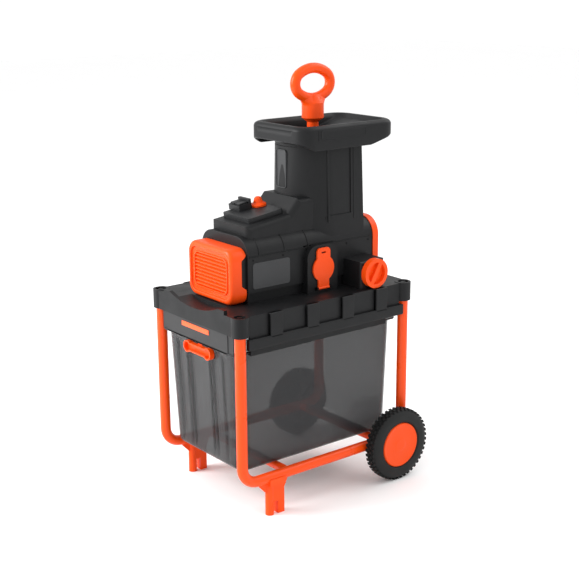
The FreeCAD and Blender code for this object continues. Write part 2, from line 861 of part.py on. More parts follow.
def box_grooves(top_wall):
    """Shallow upright grooves in the box's front wall, as one cutting tool."""
    slices = []
    for x in (-S.box_groove_x, -S.box_groove_x / 2, S.box_groove_x / 2, S.box_groove_x):
        slices.append(box("slice", (x - 5, x + 5), (S.box_top_front - 5, S.box_floor_front + 20),
                          (S.box_floor + 14, S.box_groove_top)))
    return cut("grooves", fuse("slices", *slices), top_wall)


def collection_box():
    """Smoke-tinted box with a rim that rides on the runners and a tall front panel."""
    outer = box_body("box_outer", as_size(0), S.box_floor, S.box_rim)
    inner = box_body("box_inner", S.box_wall, S.box_floor + S.box_wall, S.box_rim + 1)
    groove_floor = box_body("groove_floor", as_size(1), S.box_floor - 1, S.box_rim + 2)
    under_rim = S.box_rim - S.box_rim_thick
    rim = extruded("rim", "XY", rectangle(S.box_rim_half_width, S.front_panel_y, S.box_top_back + 4),
                   under_rim, S.box_rim)
    round_edges(rim, as_size(12), parallel_to("Z"))
    panel = box("front_panel", (-S.front_panel_half_width, S.front_panel_half_width),
                (S.front_panel_y, S.front_panel_y + S.wall), (under_rim, S.front_panel_top))
    tongue_slot = box("tongue_slot", (S.catch_x - 8 - S.loose_gap, S.catch_x + 8 + S.loose_gap),
                      (S.front_panel_y + S.wall, S.box_top_front + 0.2), (S.catch_z, S.box_rim + 1))
    return cut("collection_box", fuse("box_solid", outer, rim, panel), inner,
               box_grooves(groove_floor), tongue_slot)


def box_strip():
    """Plain coloured strip on the box's front panel."""
    face = S.front_panel_y - S.fit_gap
    return box("box_strip", (-58, 50), (face - S.strip_thick, face), (420, 431))


def catch_plate(label, grow, low, high):
    """Two round lobes joined by a narrower bridge, drawn on the box front."""
    reach = S.catch_reach
    waist = S.catch_lobe - 4 + grow
    lobes = [rod("lobe", "Y", S.catch_lobe + grow, low, high, x=S.catch_x + side * reach, z=S.catch_z)
             for side in (-1, 1)]
    bridge = box("bridge", (S.catch_x - reach, S.catch_x + reach), (low, high),
                 (S.catch_z - waist, S.catch_z + waist))
    return fuse(label, *lobes, bridge)


def box_catch():
    """Slide that locks the box shut: a hollow two-lobed grip with a tongue behind the panel."""
    back = S.catch_face
    front = back - S.catch_depth
    plate = catch_plate("plate", as_size(0), front, back)
    hollow = catch_plate("hollow", as_size(-3), front - 1, back - 3)
    tongue = box("tongue", (S.catch_x - 8, S.catch_x + 8), (back - 2.2, back), (S.catch_z, S.tongue_top))
    return fuse("box_catch", cut("grip", plate, hollow), tongue)


def box_switch():
    """Safety switch under the deck that the catch's tongue works from below."""
    front = S.wall + 2 - S.deck_half_length + S.fit_gap
    body = box("switch_body", (S.catch_x - 12, S.catch_x + 12), (front, front + 14),
               (S.deck_bottom + 6, S.scoop_floor - S.deck_plate - S.fit_gap))
    button = rod("switch_button", "Z", 3, S.deck_bottom + 0.5, S.deck_bottom + 7, x=S.catch_x, y=front + 7)
    return fuse("box_switch", body, button)


# ---------------------------------------------------------------- housing

def shouldered(label, inset, front, back, bottom):
    """A length of housing with both top edges rounded into shoulders."""
    half = S.house_half_width - inset
    top = S.house_top - inset
    body = extruded(label, "XZ", [(-half, bottom), (half, bottom), (half, top), (-half, top)], front, back)
    shoulder = S.shoulder - inset

    def upper_long_edge(edge):
        return parallel_to("Y")(edge) and abs(edge.BoundBox.ZMax - top.value) < 1e-3
    return round_edges(body, shoulder, upper_long_edge)


def hopper_solid(label, grow, bottom, top):
    """The hopper column as a solid: a half-round front and square back that taper upwards."""
    body = new_body(label)
    sketches = []
    for height in (bottom, top):
        rise = (height - S.house_seam) / (S.hopper_joint - S.house_seam)
        half = S.hopper_half_width - S.hopper_taper * rise + grow
        back = S.hopper_back - S.hopper_taper * rise + grow
        sketch = new_sketch(body, "XY", height)
        middle = S.hopper_centre_y
        corners = [(half, middle), (half, back), (-half, back), (-half, middle)]
        for start, end in zip(corners[:-1], corners[1:]):
            ends = [FreeCAD.Vector(a.value, b.value, 0) for a, b in (start, end)]
            line = sketch.addGeometry(Part.LineSegment(*ends), False)
            pin_point(sketch, line, 1, *start)
            pin_point(sketch, line, 2, *end)
        circle = Part.Circle(FreeCAD.Vector(0, middle.value, 0), FreeCAD.Vector(0, 0, 1), half.value)
        arc = sketch.addGeometry(Part.ArcOfCircle(circle, math.pi, 2 * math.pi), False)
        sketch.addConstraint(Sketcher.Constraint("Coincident", 2, 2, arc, 1))
        sketch.addConstraint(Sketcher.Constraint("Coincident", 0, 1, arc, 2))
        rule = sketch.addConstraint(Sketcher.Constraint("DistanceY", -1, 1, arc, 3, middle.value))
        sketch.setExpression(f"Constraints[{rule}]", middle.formula)
        sketches.append(sketch)
    feature = body.newObject("PartDesign::AdditiveLoft", "Loft")
    feature.Profile = sketches[0]
    feature.Sections = sketches[1:]
    feature.Ruled = True
    body.Tip = feature
    return body


def hood_outline(inset):
    """Side view of the control hood: a gently rising top that sweeps up to the hopper."""
    low = S.house_seam + 20
    slope = tangent(S.panel_tilt)
    front = S.hood_front + inset
    bend_z = S.hood_front_top + (S.hood_bend_y - S.hood_front) * slope - inset
    return [(front, low - 40), (front, S.hood_front_top - inset), (S.hood_bend_y, bend_z),
            (S.hood_rise_y, S.hood_rise_top - inset), (S.hopper_centre_y, S.hood_rise_top - inset),
            (S.hopper_centre_y, low - 40)]


def hood(label, inset):
    half = S.hood_half_width - inset
    body = extruded(label, "YZ", hood_outline(inset), -half, half)

    def top_or_front(edge):
        extent = edge.BoundBox
        on_side = abs(abs(extent.Center.x) - half.value) < 1e-3 and extent.XLength < 1e-3
        climbs_back = extent.ZMin < S.hood_front_top.value - 20 and extent.YMin > S.hood_bend_y.value
        level_base = extent.ZMax < S.house_seam.value
        return on_side and not climbs_back and not level_base
    return round_edges(body, S.hood_edge - inset, top_or_front)


def upper_housing():
    """Top half of the machine housing with the control hood and the hopper's opening."""
    arch_outer = shouldered("arch_outer", as_size(0), S.house_front, S.house_back, S.house_seam - 20)
    arch_inner = shouldered("arch_inner", S.wall, S.house_front - 1, S.house_back + 1, S.house_seam - 9)
    outside = fuse("upper_outside", arch_outer, hood("hood_outer", as_size(0)))
    inside = fuse("upper_inside", arch_inner, hood("hood_inner", S.wall))
    below = box("below", (-120, 120), (-200, 250), (S.house_seam - 80, S.house_seam + S.fit_gap))
    opening = hopper_solid("opening", S.fit_gap, S.house_seam - 20, S.hopper_joint)
    boss_half = S.boss_half_width + S.fit_gap
    boss_room = box("boss_room", (S.house_half_width - 10, S.boss_x + 15),
                    (S.flap_y - boss_half, S.flap_y + boss_half),
                    (S.house_seam - 10, S.boss_top + S.fit_gap))
    return cut("upper_housing", outside, inside, below, opening, boss_room)


def flap_boss(label, inset):
    """Arch-topped pad that carries the inspection flap."""
    half = S.boss_half_width - inset
    body = extruded(label, "YZ", [
        (S.flap_y - half, S.deck_top + S.fit_gap), (S.flap_y + half, S.deck_top + S.fit_gap),
        (S.flap_y + half, S.boss_top), (S.flap_y - half, S.boss_top)],
        S.plinth_half_width - 20, S.boss_x)

    def top_corner(edge):
        return parallel_to("X")(edge) and edge.BoundBox.ZMin > S.boss_top.value - 1
    return round_edges(body, S.boss_round, top_corner)


def inlet_box(label, grow, low, high):
    """A block the shape of the power inlet's socket, drawn across the left side wall."""
    half_width = S.inlet_half_width + grow
    half_height = S.inlet_half_height + grow
    return box(label, (low, high), (S.inlet_y - half_width, S.inlet_y + half_width),
               (S.inlet_z - half_height, S.inlet_z + half_height))


def lower_housing():
    """Bottom half of the machine housing: side walls, plinth, nose, flap boss and knob boss."""
    base = S.deck_top + S.fit_gap
    seam = S.house_seam
    tub = box("tub", (-S.house_half_width, S.house_half_width), (S.house_front, S.house_back),
              (S.plinth_top, seam))
    plinth = box("plinth", (-S.plinth_half_width, S.plinth_half_width), (S.house_front + 4, S.house_back),
                 (base, S.plinth_top + 1))
    nose = extruded("nose", "XZ", rectangle(S.nose_half_width, base + 6, seam + 14),
                    S.nose_front, S.house_front + 1)
    round_edges(nose, S.cover_corner - S.wall - 1, parallel_to("Y"))
    knob_ys = (S.knob_y - S.knob_boss_half, S.knob_y + S.knob_boss_half)
    knob_boss = extruded("knob_boss", "XZ", [
        (S.plinth_half_width - 20, base), (S.knob_x, base), (S.knob_x, S.knob_boss_top),
        (S.plinth_half_width - 20, S.knob_boss_top)], *knob_ys)

    def outer_edge(edge):
        return edge.BoundBox.XMin > S.knob_x.value - 1 and edge.BoundBox.ZMax > base.value + 1
    round_edges(knob_boss, as_size(5), outer_edge)
    outside = fuse("lower_outside", tub, plinth, nose, knob_boss, flap_boss("flap_boss", as_size(0)))
    wall = S.wall
    tub_in = box("tub_in", (wall - S.house_half_width, S.house_half_width - wall),
                 (S.nose_front - 1, S.house_back + 1), (S.plinth_top + wall, seam + 20))
    plinth_in = box("plinth_in", (wall - S.plinth_half_width, S.plinth_half_width - wall),
                    (S.house_front + 4 + wall, S.house_back - wall), (base + wall, S.plinth_top + wall + 1))
    knob_in = box("knob_in", (S.plinth_half_width - 20, S.knob_x - wall - 2),
                  (knob_ys[0] + wall, knob_ys[1] - wall), (base + wall, S.knob_boss_top - wall))
    flap_in = rod("flap_in", "X", S.flap_radius - 8, S.plinth_half_width - 21, S.boss_x + 1,
                  y=S.flap_y, z=S.flap_z)
    floor_hole = box("floor_hole", (-S.chute_half_width, S.chute_half_width), (S.chute_front, S.chute_back),
                     (base - 1, base + wall + 1))
    screw_hole = rod("screw_hole", "X", S.screw_shaft + S.running_gap, S.knob_x - 20, S.knob_x + 5,
                     y=S.knob_y, z=S.knob_z)
    seam_holes = []
    for y in SEAM_SCREW_YS:
        seam_holes.append(rod("seam_hole", "X", S.seam_screw + S.fit_gap, -S.house_half_width - 1,
                              S.house_half_width + 1, y=y, z=seam - S.seam_screw_drop))
    inlet_hole = inlet_box("inlet_hole", S.fit_gap, -S.house_half_width - 1, wall + 1 - S.house_half_width)
    return cut("lower_housing", outside, tub_in, plinth_in, knob_in, flap_in, floor_hole, screw_hole,
               inlet_hole, *seam_holes)


def motor_cover():
    """Orange louvred cap over the motor end."""
    half = S.cover_half_width
    base = S.deck_top + S.fit_gap
    body = extruded("cover_outer", "XZ", rectangle(half, base, S.cover_top), S.cover_front, S.cover_back)
    round_edges(body, S.cover_corner, parallel_to("Y"))
    round_edges(body, as_size(9), lying_at("Y", S.cover_front))
    inner = extruded("cover_inner", "XZ", rectangle(half - S.wall, base + S.wall, S.cover_top - S.wall),
                     S.cover_front + S.cover_face, S.cover_back + 1)
    round_edges(inner, S.cover_corner - S.wall, parallel_to("Y"))
    tools = [inner]
    middle = (S.deck_top + S.cover_top) / 2
    for i in range(10):
        z = middle + S.slot_pitch * (i - 4.5)
        tools.append(box("slot", (-S.slot_half_width, S.slot_half_width),
                         (S.cover_front - 1, S.cover_front + S.slot_depth),
                         (z - S.slot_height / 2, z + S.slot_height / 2)))
    for side in (-1, 1):
        xs = (half - 5, half + 1) if side > 0 else (-half - 1, 5 - half)
        tools.append(box("side_notch", xs, (S.cover_back - S.cover_notch, S.cover_back + 1),
                         (S.cover_notch_low, S.cover_notch_high)))
    return cut("motor_cover", body, *tools)


def rear_cover():
    """Orange cap that closes the back of the housing, with the same shoulders."""
    front = S.house_back + S.fit_gap
    outer = shouldered("rear_outer", as_size(-2), front, S.rear_cover_back, S.deck_top + 6)
    inner = shouldered("rear_inner", S.wall, front - 1, S.rear_cover_back - S.wall, S.deck_top + 10)
    return cut("rear_cover", outer, inner)


def housing_screws():
    """Small screws along the housing seam, sunk into both side walls."""
    screws = []
    for side in (-1, 1):
        for y in SEAM_SCREW_YS:
            low, high = S.house_half_width - S.wall, S.house_half_width - 1
            if side < 0:
                low, high = -high, -low
            screws.append(rod("screw", "X", S.seam_screw, low, high, y=y,
                              z=S.house_seam - S.seam_screw_drop))
    return group("housing_screws", *screws)


# ---------------------------------------------------------------- hopper

def hopper():
    """The feed column between the housing and the funnel, with a rest each side for the plunger."""
    outer = hopper_solid("hopper_outer", as_size(0), S.house_seam + S.fit_gap, S.hopper_joint)
    inner = hopper_solid("hopper_inner", -S.wall, S.house_seam - 1, S.hopper_joint + 1)
    sunk = hopper_solid("sunk_face", -S.recess_depth, S.house_seam - 2, S.hopper_joint + 2)
    column = cut("column", outer, inner)
    frames = []
    ledges = []
    for side in (-1, 1):
        xs = (as_size(70), as_size(95)) if side > 0 else (as_size(-95), as_size(-70))
        frames.append(box("recess", xs, (S.hopper_centre_y - 18, S.hopper_back - 40),
                          (S.pad_bottom, S.hopper_joint - 5)))
        xs = (as_size(66), as_size(85)) if side > 0 else (as_size(-85), as_size(-66))
        ledges.append(box("ledge", xs, (S.plunger_y - 30, S.plunger_y + 30),
                          (S.pad_bottom - 10, S.pad_bottom - S.loose_gap)))
    recess = cut("recesses", fuse("recess_blocks", *frames), sunk)
    return cut("hopper", fuse("hopper_solid", column, *ledges), recess)


def funnel_block(label, inset, drop, top):
    """The funnel's outer envelope: deep side skirts, shallower front and back."""
    front = S.funnel_front + inset
    back = S.funnel_back - inset
    half = S.funnel_half_width - inset
    body = extruded(label, "YZ", [
        (front, S.funnel_front_low - drop), (front, top), (back, top), (back, S.funnel_front_low + 3 - drop),
        (back - 80, S.funnel_side_low - drop), (front + 36, S.funnel_side_low - drop)], -half, half)
    round_edges(body, S.funnel_corner - inset, parallel_to("Z"))
    return body


def funnel():
    """Flared inlet on top of the hopper with a rolled rim and deep skirts."""
    wall = S.wall
    outer = funnel_block("funnel_outer", as_size(0), as_size(0), S.funnel_top)
    round_edges(outer, as_size(7), lying_at("Z", S.funnel_top))
    under = funnel_block("funnel_under", wall, as_size(20), S.funnel_top - wall - 1)
    joint = S.hopper_joint + S.fit_gap
    throat_back = S.hopper_back - S.hopper_taper
    half = S.hopper_half_width - S.hopper_taper
    flare = lofted("flare_outer", [
        (joint, half, S.hopper_centre_y - half, throat_back, as_size(20)),
        (S.funnel_top - wall, S.funnel_half_width - 4, S.funnel_front + 4, S.funnel_back - 4, as_size(22))])
    flare_in = lofted("flare_inner", [
        (joint + wall, half - wall, S.hopper_centre_y - half + wall, throat_back - wall, as_size(17)),
        (S.funnel_top + 1, S.funnel_half_width - 7, S.funnel_front + 7, S.funnel_back - 7, as_size(19))])
    throat = hopper_solid("throat", -wall, S.house_seam, S.hopper_joint + 20)
    skin = cut("funnel_skin", outer, under)
    walls = common("funnel_walls", flare, funnel_block("trim", as_size(1), as_size(0), S.funnel_top - 1))
    return cut("funnel", fuse("funnel_solid", skin, walls), flare_in, throat)


# ---------------------------------------------------------------- plunger

def ring_arc(radius, centre_y, centre_z, start, sweep):
    """One stretch of the handle's round bar: part of a torus that stands in the yz plane."""
    arc = doc.addObject("Part::Torus", "Arc")
    hold(arc, "Radius1", radius)
    hold(arc, "Radius2", S.ring_bar)
    hold(arc, "Angle3", sweep)
    across = math.cos(math.radians(start.value))
    up = math.sin(math.radians(start.value))
    first = FreeCAD.Vector(0, across, up)
    second = FreeCAD.Vector(0, -up, across)
    arc.Placement.Rotation = FreeCAD.Rotation(first, second, AXIS_VECTOR["X"])
    return place(arc, 0, centre_y, centre_z)


def oval_ring():
    """The plunger's oval handle: two tight end arcs and two wide ones that meet them smoothly."""
    end_radius = S.ring_end_radius
    half_height = S.ring_half_height
    end_centre = S.ring_half_length - end_radius
    wide_radius = ((end_radius * end_radius - half_height * half_height - end_centre * end_centre)
                   / (2 * end_radius - 2 * half_height))
    drop = wide_radius - half_height
    slope = drop / end_centre
    meet = Size(math.degrees(math.atan(slope.value)), f"(atan({slope.formula}) / 1 deg)")
    middle = S.ring_centre
    return [
        ring_arc(end_radius, S.plunger_y + end_centre, middle, -meet, 2 * meet),
        ring_arc(wide_radius, S.plunger_y, middle - drop, meet, 180 - 2 * meet),
        ring_arc(end_radius, S.plunger_y - end_centre, middle, 180 - meet, 2 * meet),
        ring_arc(wide_radius, S.plunger_y, middle + drop, 180 + meet, 180 - 2 * meet),
    ]


def plunger():
    """Push-down plunger: oval handle, thick neck, stem and a broad foot."""
    neck_top = S.ring_centre - S.ring_half_height
    post = turned("post", [
        (0, S.pad_bottom + 2), (S.stem_radius, S.pad_bottom + 2), (S.stem_radius, S.neck_bottom - 10),
        (S.neck_radius, S.neck_bottom), (S.neck_radius, neck_top - 10), (S.neck_radius - 12, neck_top + 8),
        (0, neck_top + 8)])
    place(post, 0, S.plunger_y, 0)
    foot_pad = extruded("pad", "XY", rectangle(S.pad_half_width, S.plunger_y - S.pad_half_length,
                                               S.plunger_y + S.pad_half_length),
                        S.pad_bottom, S.pad_bottom + S.pad_thick)
    round_edges(foot_pad, as_size(30), parallel_to("Z"))
    return fuse("plunger", *oval_ring(), post, foot_pad)


# ---------------------------------------------------------------- flap and knob

def flap():
    """Keyhole-shaped inspection flap that folds down about its bottom edge."""
    low = S.boss_x + S.loose_gap
    high = low + S.flap_thick
    disc = rod("disc", "X", S.flap_radius, low, high, y=S.flap_y, z=S.flap_z)
    neck = box("neck", (low, high), (S.flap_y - S.flap_neck, S.flap_y + S.flap_neck),
               (S.flap_hinge_z, S.flap_z))
    tab = extruded("tab", "YZ", [
        (S.flap_y - S.flap_tab, S.flap_z), (S.flap_y + S.flap_tab, S.flap_z),
        (S.flap_y + S.flap_tab, S.flap_top), (S.flap_y - S.flap_tab, S.flap_top)], low, high)

    def top_corner(edge):
        return parallel_to("X")(edge) and edge.BoundBox.ZMin > S.flap_top.value - 1
    round_edges(tab, S.flap_tab / 2, top_corner)
    axis_x = low + S.flap_knuckle
    knuckle = rod("knuckle", "Y", S.flap_knuckle, S.flap_y - S.flap_neck, S.flap_y + S.flap_neck,
                  x=axis_x, z=S.flap_hinge_z)
    slot = box("slot", (low - 1, high + 1), (S.flap_y - 7, S.flap_y + 7), (S.flap_top - 13, S.flap_top - 9))
    pin_hole = rod("pin_hole", "Y", S.flap_pin + S.running_gap, S.flap_y - S.flap_neck - 4,
                   S.flap_y + S.flap_neck + 4, x=axis_x, z=S.flap_hinge_z)
    return cut("inspection_flap", fuse("flap_solid", disc, neck, tab, knuckle), slot, pin_hole)


def flap_hinge():
    """Steel pin held by an ear each side of the flap's knuckle."""
    axis_x = S.boss_x + S.loose_gap + S.flap_knuckle
    inner = S.flap_neck + 1
    outer = inner + S.ear_width
    pin = rod("pin", "Y", S.flap_pin, S.flap_y - outer + 1, S.flap_y + outer - 1, x=axis_x, z=S.flap_hinge_z)
    ears = []
    for low, high in ((S.flap_y - outer, S.flap_y - inner), (S.flap_y + inner, S.flap_y + outer)):
        ears.append(box("ear", (S.boss_x + S.fit_gap, axis_x + S.flap_knuckle), (low, high),
                        (S.flap_hinge_z - 4, S.flap_hinge_z + 3)))
    return fuse("flap_hinge", pin, *ears)


def adjusting_knob():
    """Round knob with a sunk face and a slanting grip bar."""
    start = S.knob_x + S.loose_gap
    end = start + S.knob_depth
    disc = rod("disc", "X", S.knob_radius, start, end, y=S.knob_y, z=S.knob_z)
    dish = rod("dish", "X", S.knob_radius - S.knob_rim, end - S.knob_dish, end + 1, y=S.knob_y, z=S.knob_z)
    half_length = S.knob_radius - S.knob_rim + 1
    grip = doc.addObject("Part::Box", "Grip")
    hold(grip, "Length", S.knob_dish)
    hold(grip, "Width", 2 * half_length)
    hold(grip, "Height", S.grip_thick)
    grip.Placement.Rotation = FreeCAD.Rotation(AXIS_VECTOR["X"], S.grip_angle.value)
    across = math.cos(math.radians(S.grip_angle.value))
    up = math.sin(math.radians(S.grip_angle.value))
    half_thick = S.grip_thick / 2
    place(grip, end - S.knob_dish - 1, S.knob_y - half_length * across + half_thick * up,
          S.knob_z - half_length * up - half_thick * across)
    bore = rod("bore", "X", S.screw_shaft + S.fit_gap, start - 1, start + 6, y=S.knob_y, z=S.knob_z)
    return cut("adjusting_knob", fuse("knob_solid", cut("dished", disc, dish), grip), bore)


def adjusting_screw():
    return rod("adjusting_screw", "X", S.screw_shaft, S.roller_x + S.roller_radius + 18,
               S.knob_x + S.loose_gap + 6 - S.fit_gap, y=S.knob_y, z=S.knob_z)


def pressure_plate():
    """Plate the roller crushes against, with a nut block for the adjusting screw behind it."""
    face = S.roller_x + S.roller_radius + S.plate_gap
    back = face + S.plate_thick
    bottom = S.plinth_top + 6
    plate = box("plate", (face, back), (S.roller_front + 2, S.roller_back - 2), (bottom, S.house_seam - 8))
    block = box("nut_block", (back - 1, back - 1 + S.nut_block_depth), (S.knob_y - 13, S.knob_y + 12),
                (bottom, S.knob_z + 14))
    hole = rod("hole", "X", S.screw_shaft + S.loose_gap, back + 2, back + S.nut_block_depth + 2,
               y=S.knob_y, z=S.knob_z)
    return cut("pressure_plate", fuse("plate_solid", plate, block), hole)


# ---------------------------------------------------------------- drive

def bored_disc(label, radius, bore, low, high, x, z):
    """A round disc on a shaft along y."""
    disc = rod("disc", "Y", radius, low, high, x=x, z=z)
    hole = rod("hole", "Y", bore, low - 1, high + 1, x=x, z=z)
    return cut(label, disc, hole)


def shaft_distance(x1, z1, x2, z2):
    """Centre distance between two parallel shafts."""
    dx = x1 - x2
    dz = z1 - z2
    squared = dx * dx + dz * dz
    return Size(math.sqrt(squared.value), f"sqrt({squared.formula})")


def support_plate(label, low, high, bottom, *holes):
    """A plate across the housing with shaft holes; each hole is its x, z and radius."""
    half = S.house_half_width - S.wall - S.fit_gap
    plate = box("plate", (-half, half), (low, high), (bottom, S.house_seam - 2))
    tools = [rod("hole", "Y", radius, low - 1, high + 1, x=x, z=z) for x, z, radius in holes]
    return cut(label, plate, *tools)


def roller():
    """Crushing roller with blunt teeth along its length."""
    teeth = 9
    root = S.roller_radius - 8
    points = []
    for i in range(teeth):
        for share, radius in ((0.0, root), (0.18, S.roller_radius), (0.42, S.roller_radius), (0.6, root)):
            angle = 2 * math.pi * (i + share) / teeth
            points.append((S.roller_x + radius * math.cos(angle), S.roller_z + radius * math.sin(angle)))
    blank = extruded("roller_blank", "XZ", points, S.roller_front, S.roller_back)
    bore = rod("bore", "Y", S.roller_shaft + S.fit_gap, S.roller_front - 1, S.roller_back + 1,
               x=S.roller_x, z=S.roller_z)
    return cut("crushing_roller", blank, bore)


def motor_fan(bore):
    """Cooling fan in front of the motor: a disc, a hub and eight straight blades."""
    disc = rod("fan_disc", "Y", S.fan_radius, S.fan_y, S.fan_y + 3, z=S.motor_z)
    hub = rod("fan_hub", "Y", S.fan_hub, S.fan_y, S.fan_y + S.fan_depth, z=S.motor_z)
    blades = []
    for i in range(8):
        blade = doc.addObject("Part::Box", "Blade")
        hold(blade, "Length", S.fan_radius - S.fan_hub - 3)
        hold(blade, "Width", S.blade_height)
        hold(blade, "Height", S.blade_thick)
        turn = FreeCAD.Rotation(AXIS_VECTOR["Y"], 45 * i)
        blade.Placement.Rotation = turn
        arm = turn.multVec(FreeCAD.Vector(S.fan_hub.value + 2, 0, -S.blade_thick.value / 2))
        place(blade, arm.x, S.fan_y + 2.5, S.motor_z + arm.z)
        blades.append(blade)
    hole = rod("fan_bore", "Y", bore, S.fan_y - 1, S.fan_y + S.fan_depth + 1, z=S.motor_z)
    return cut("motor_fan", fuse("fan_solid", disc, hub, *blades), hole)


def geared_shaft(label, low, high, pinion_start, x, z):
    """A shaft along y with its small gear."""
    shaft = rod("shaft", "Y", S.motor_shaft, low, high, x=x, z=z)
    pinion = rod("pinion", "Y", S.pinion_radius, pinion_start, pinion_start + S.gear_width, x=x, z=z)
    return fuse(label, shaft, pinion)


def drive_train():
    """Motor, two gear stages and the roller shaft, with the plates that carry them."""
    reach = S.pinion_radius + S.loose_gap
    motor = (as_size(0), S.motor_z)
    lay = (S.layshaft_x, S.layshaft_z)
    roll = (S.roller_x, S.roller_z)
    free = S.motor_shaft + S.running_gap
    tight = S.motor_shaft + S.fit_gap
    roll_tight = S.roller_shaft + S.fit_gap
    first_end = S.first_gear_y + S.gear_width
    final_end = S.final_gear_y + S.gear_width
    floor = S.plinth_top + S.wall + 1
    seat = S.bearing_radius + S.fit_gap
    front_wall = (S.chamber_front, S.chamber_front + S.bearing_width)
    rear_wall = (S.chamber_back, S.chamber_back + S.bearing_width)
    bearings = [bored_disc("bearing", S.bearing_radius, S.roller_shaft + S.running_gap, *ys, *roll)
                for ys in (front_wall, rear_wall)]
    return [
        bored_disc("motor_stator", S.stator_radius, S.rotor_radius + S.loose_gap,
                   S.stator_front, S.stator_back, *motor),
        bored_disc("motor_rotor", S.rotor_radius, tight, S.stator_front + 2, S.stator_back - 2, *motor),
        geared_shaft("motor_shaft", S.fan_y, first_end, S.first_gear_y, *motor),
        motor_fan(tight),
        geared_shaft("layshaft", S.gear_plate_y + 4, S.chamber_front + S.bearing_width - 2,
                     S.final_gear_y, *lay),
        bored_disc("first_gear", shaft_distance(*lay, *motor) - reach, tight,
                   S.first_gear_y, first_end, *lay),
        bored_disc("final_gear", shaft_distance(*lay, *roll) - reach, roll_tight,
                   S.final_gear_y, final_end, *roll),
        rod("roller_shaft", "Y", S.roller_shaft, S.final_gear_y, S.chamber_back + S.bearing_width + 3,
            x=S.roller_x, z=S.roller_z),
        roller(),
        group("roller_bearings", *bearings),
        support_plate("motor_bracket", S.bracket_y, S.bracket_y + S.bracket_thick, floor, (*motor, free)),
        support_plate("gear_plate", S.gear_plate_y, S.gear_plate_y + S.gear_plate_thick, floor,
                      (*motor, free), (*lay, free)),
        support_plate("chamber_front_plate", *front_wall, floor, (*roll, seat), (*lay, free)),
        support_plate("chamber_rear_plate", *rear_wall, floor, (*roll, seat)),
        box("chamber_liner", (S.liner_x, S.liner_x + S.liner_thick),
            (front_wall[1] + 2 * S.fit_gap, S.chamber_back - 2 * S.fit_gap), (floor, S.house_seam - 2)),
    ]


# ---------------------------------------------------------------- controls

def on_panel(thing):
    """Seat a piece drawn from the hood's front top edge onto the sloping panel."""
    thing.Placement.Rotation = FreeCAD.Rotation(AXIS_VECTOR["X"], S.panel_tilt.value)
    hold(thing, "Placement.Rotation.Angle", S.panel_tilt)
    return place(thing, 0, S.hood_front, S.hood_front_top)


def rounded_block(label, x, y, z, corner):
    body = extruded(label, "XY", [(x[0], y[0]), (x[1], y[0]), (x[1], y[1]), (x[0], y[1])], *z)
    return round_edges(body, as_size(corner), parallel_to("Z"))


def controls():
    """Sloping control plate with a two-button switch and a turning direction dial."""
    deck_level = S.fit_gap
    top = S.panel_thick
    plate = rounded_block("plate", (-S.panel_half_width, S.panel_half_width - 5),
                          (S.panel_start, S.panel_end), (deck_level, top), 7)
    left = S.switch_x - S.switch_half_width
    right = S.switch_x + S.switch_half_width
    seat = top + S.fit_gap
    switch = rounded_block("switch", (left, right), (S.switch_start, S.switch_end), (seat, top + 13), 3)
    guard = rounded_block("guard", (left, right), (S.switch_end - 8, S.switch_end), (seat, top + 22), 3)
    middle = (left + right) / 2
    wells = []
    buttons = []
    front = S.switch_start + 4
    back = S.switch_end - 10
    for label, low, high in (("stop_button", left + 4, middle - 1), ("start_button", middle + 1, right - 4)):
        gap = S.loose_gap
        wells.append(box("well", (low - gap, high + gap), (front - gap, back + gap), (top + 3, top + 14)))
        buttons.append(on_panel(rounded_block(label, (low, high), (front, back), (top + 8, top + 17), 2)))
    frame = on_panel(cut("switch_frame", fuse("switch_solid", switch, guard), *wells))
    dial_bottom = top + S.loose_gap
    dial = turned("direction_dial", [
        (0, dial_bottom), (S.dial_radius + 2, dial_bottom), (S.dial_radius + 2, dial_bottom + 4),
        (S.dial_radius - 5, dial_bottom + 9), (S.dial_radius - 8, dial_bottom + S.dial_height - 3),
        (S.dial_radius - 11, dial_bottom + S.dial_height), (0, dial_bottom + S.dial_height)])
    lean = FreeCAD.Rotation(AXIS_VECTOR["X"], S.panel_tilt.value)
    dial.Placement.Rotation = lean
    slope = tangent(S.panel_tilt)
    along = Size(math.cos(math.radians(S.panel_tilt.value)), f"cos({S.panel_tilt.formula} * 1 deg)")
    place(dial, S.dial_x, S.hood_front + S.dial_y * along, S.hood_front_top + S.dial_y * along * slope)
    plate.Label = "control_panel"
    return [on_panel(plate), frame, *buttons, dial]


def power_inlet():
    """Recessed mains inlet on the left side of the housing, with its pins."""
    face = -S.house_half_width
    socket = inlet_box("socket", as_size(0), face, face + S.inlet_depth)
    neck = inlet_box("neck", as_size(0), face - 1, face + 1)
    flange = inlet_plate("flange", S.inlet_flange, face - 3, face - S.fit_gap)
    shell = fuse("shell", socket, flange, neck)
    well = inlet_plate("well", -S.inlet_wall, face - 4, face + S.inlet_depth - 4)
    pins = []
    for across, up in ((-7, -3), (7, -3), (0, 5)):
        y = S.inlet_y + across
        z = S.inlet_z + up
        pins.append(box("pin", (face + 2, face + S.inlet_depth - 4 - S.fit_gap),
                        (y - 1, y + 1), (z - 3, z + 3)))
    return [cut("power_inlet", shell, well), group("inlet_pins", *pins)]


def inlet_plate(label, grow, low, high):
    """The inlet's outline with rounded corners, between two x."""
    half_width = S.inlet_half_width + grow
    half_height = S.inlet_half_height + grow
    body = extruded(label, "YZ", [
        (S.inlet_y - half_width, S.inlet_z - half_height), (S.inlet_y + half_width, S.inlet_z - half_height),
        (S.inlet_y + half_width, S.inlet_z + half_height), (S.inlet_y - half_width, S.inlet_z + half_height)],
        low, high)
    return round_edges(body, as_size(4), parallel_to("X"))


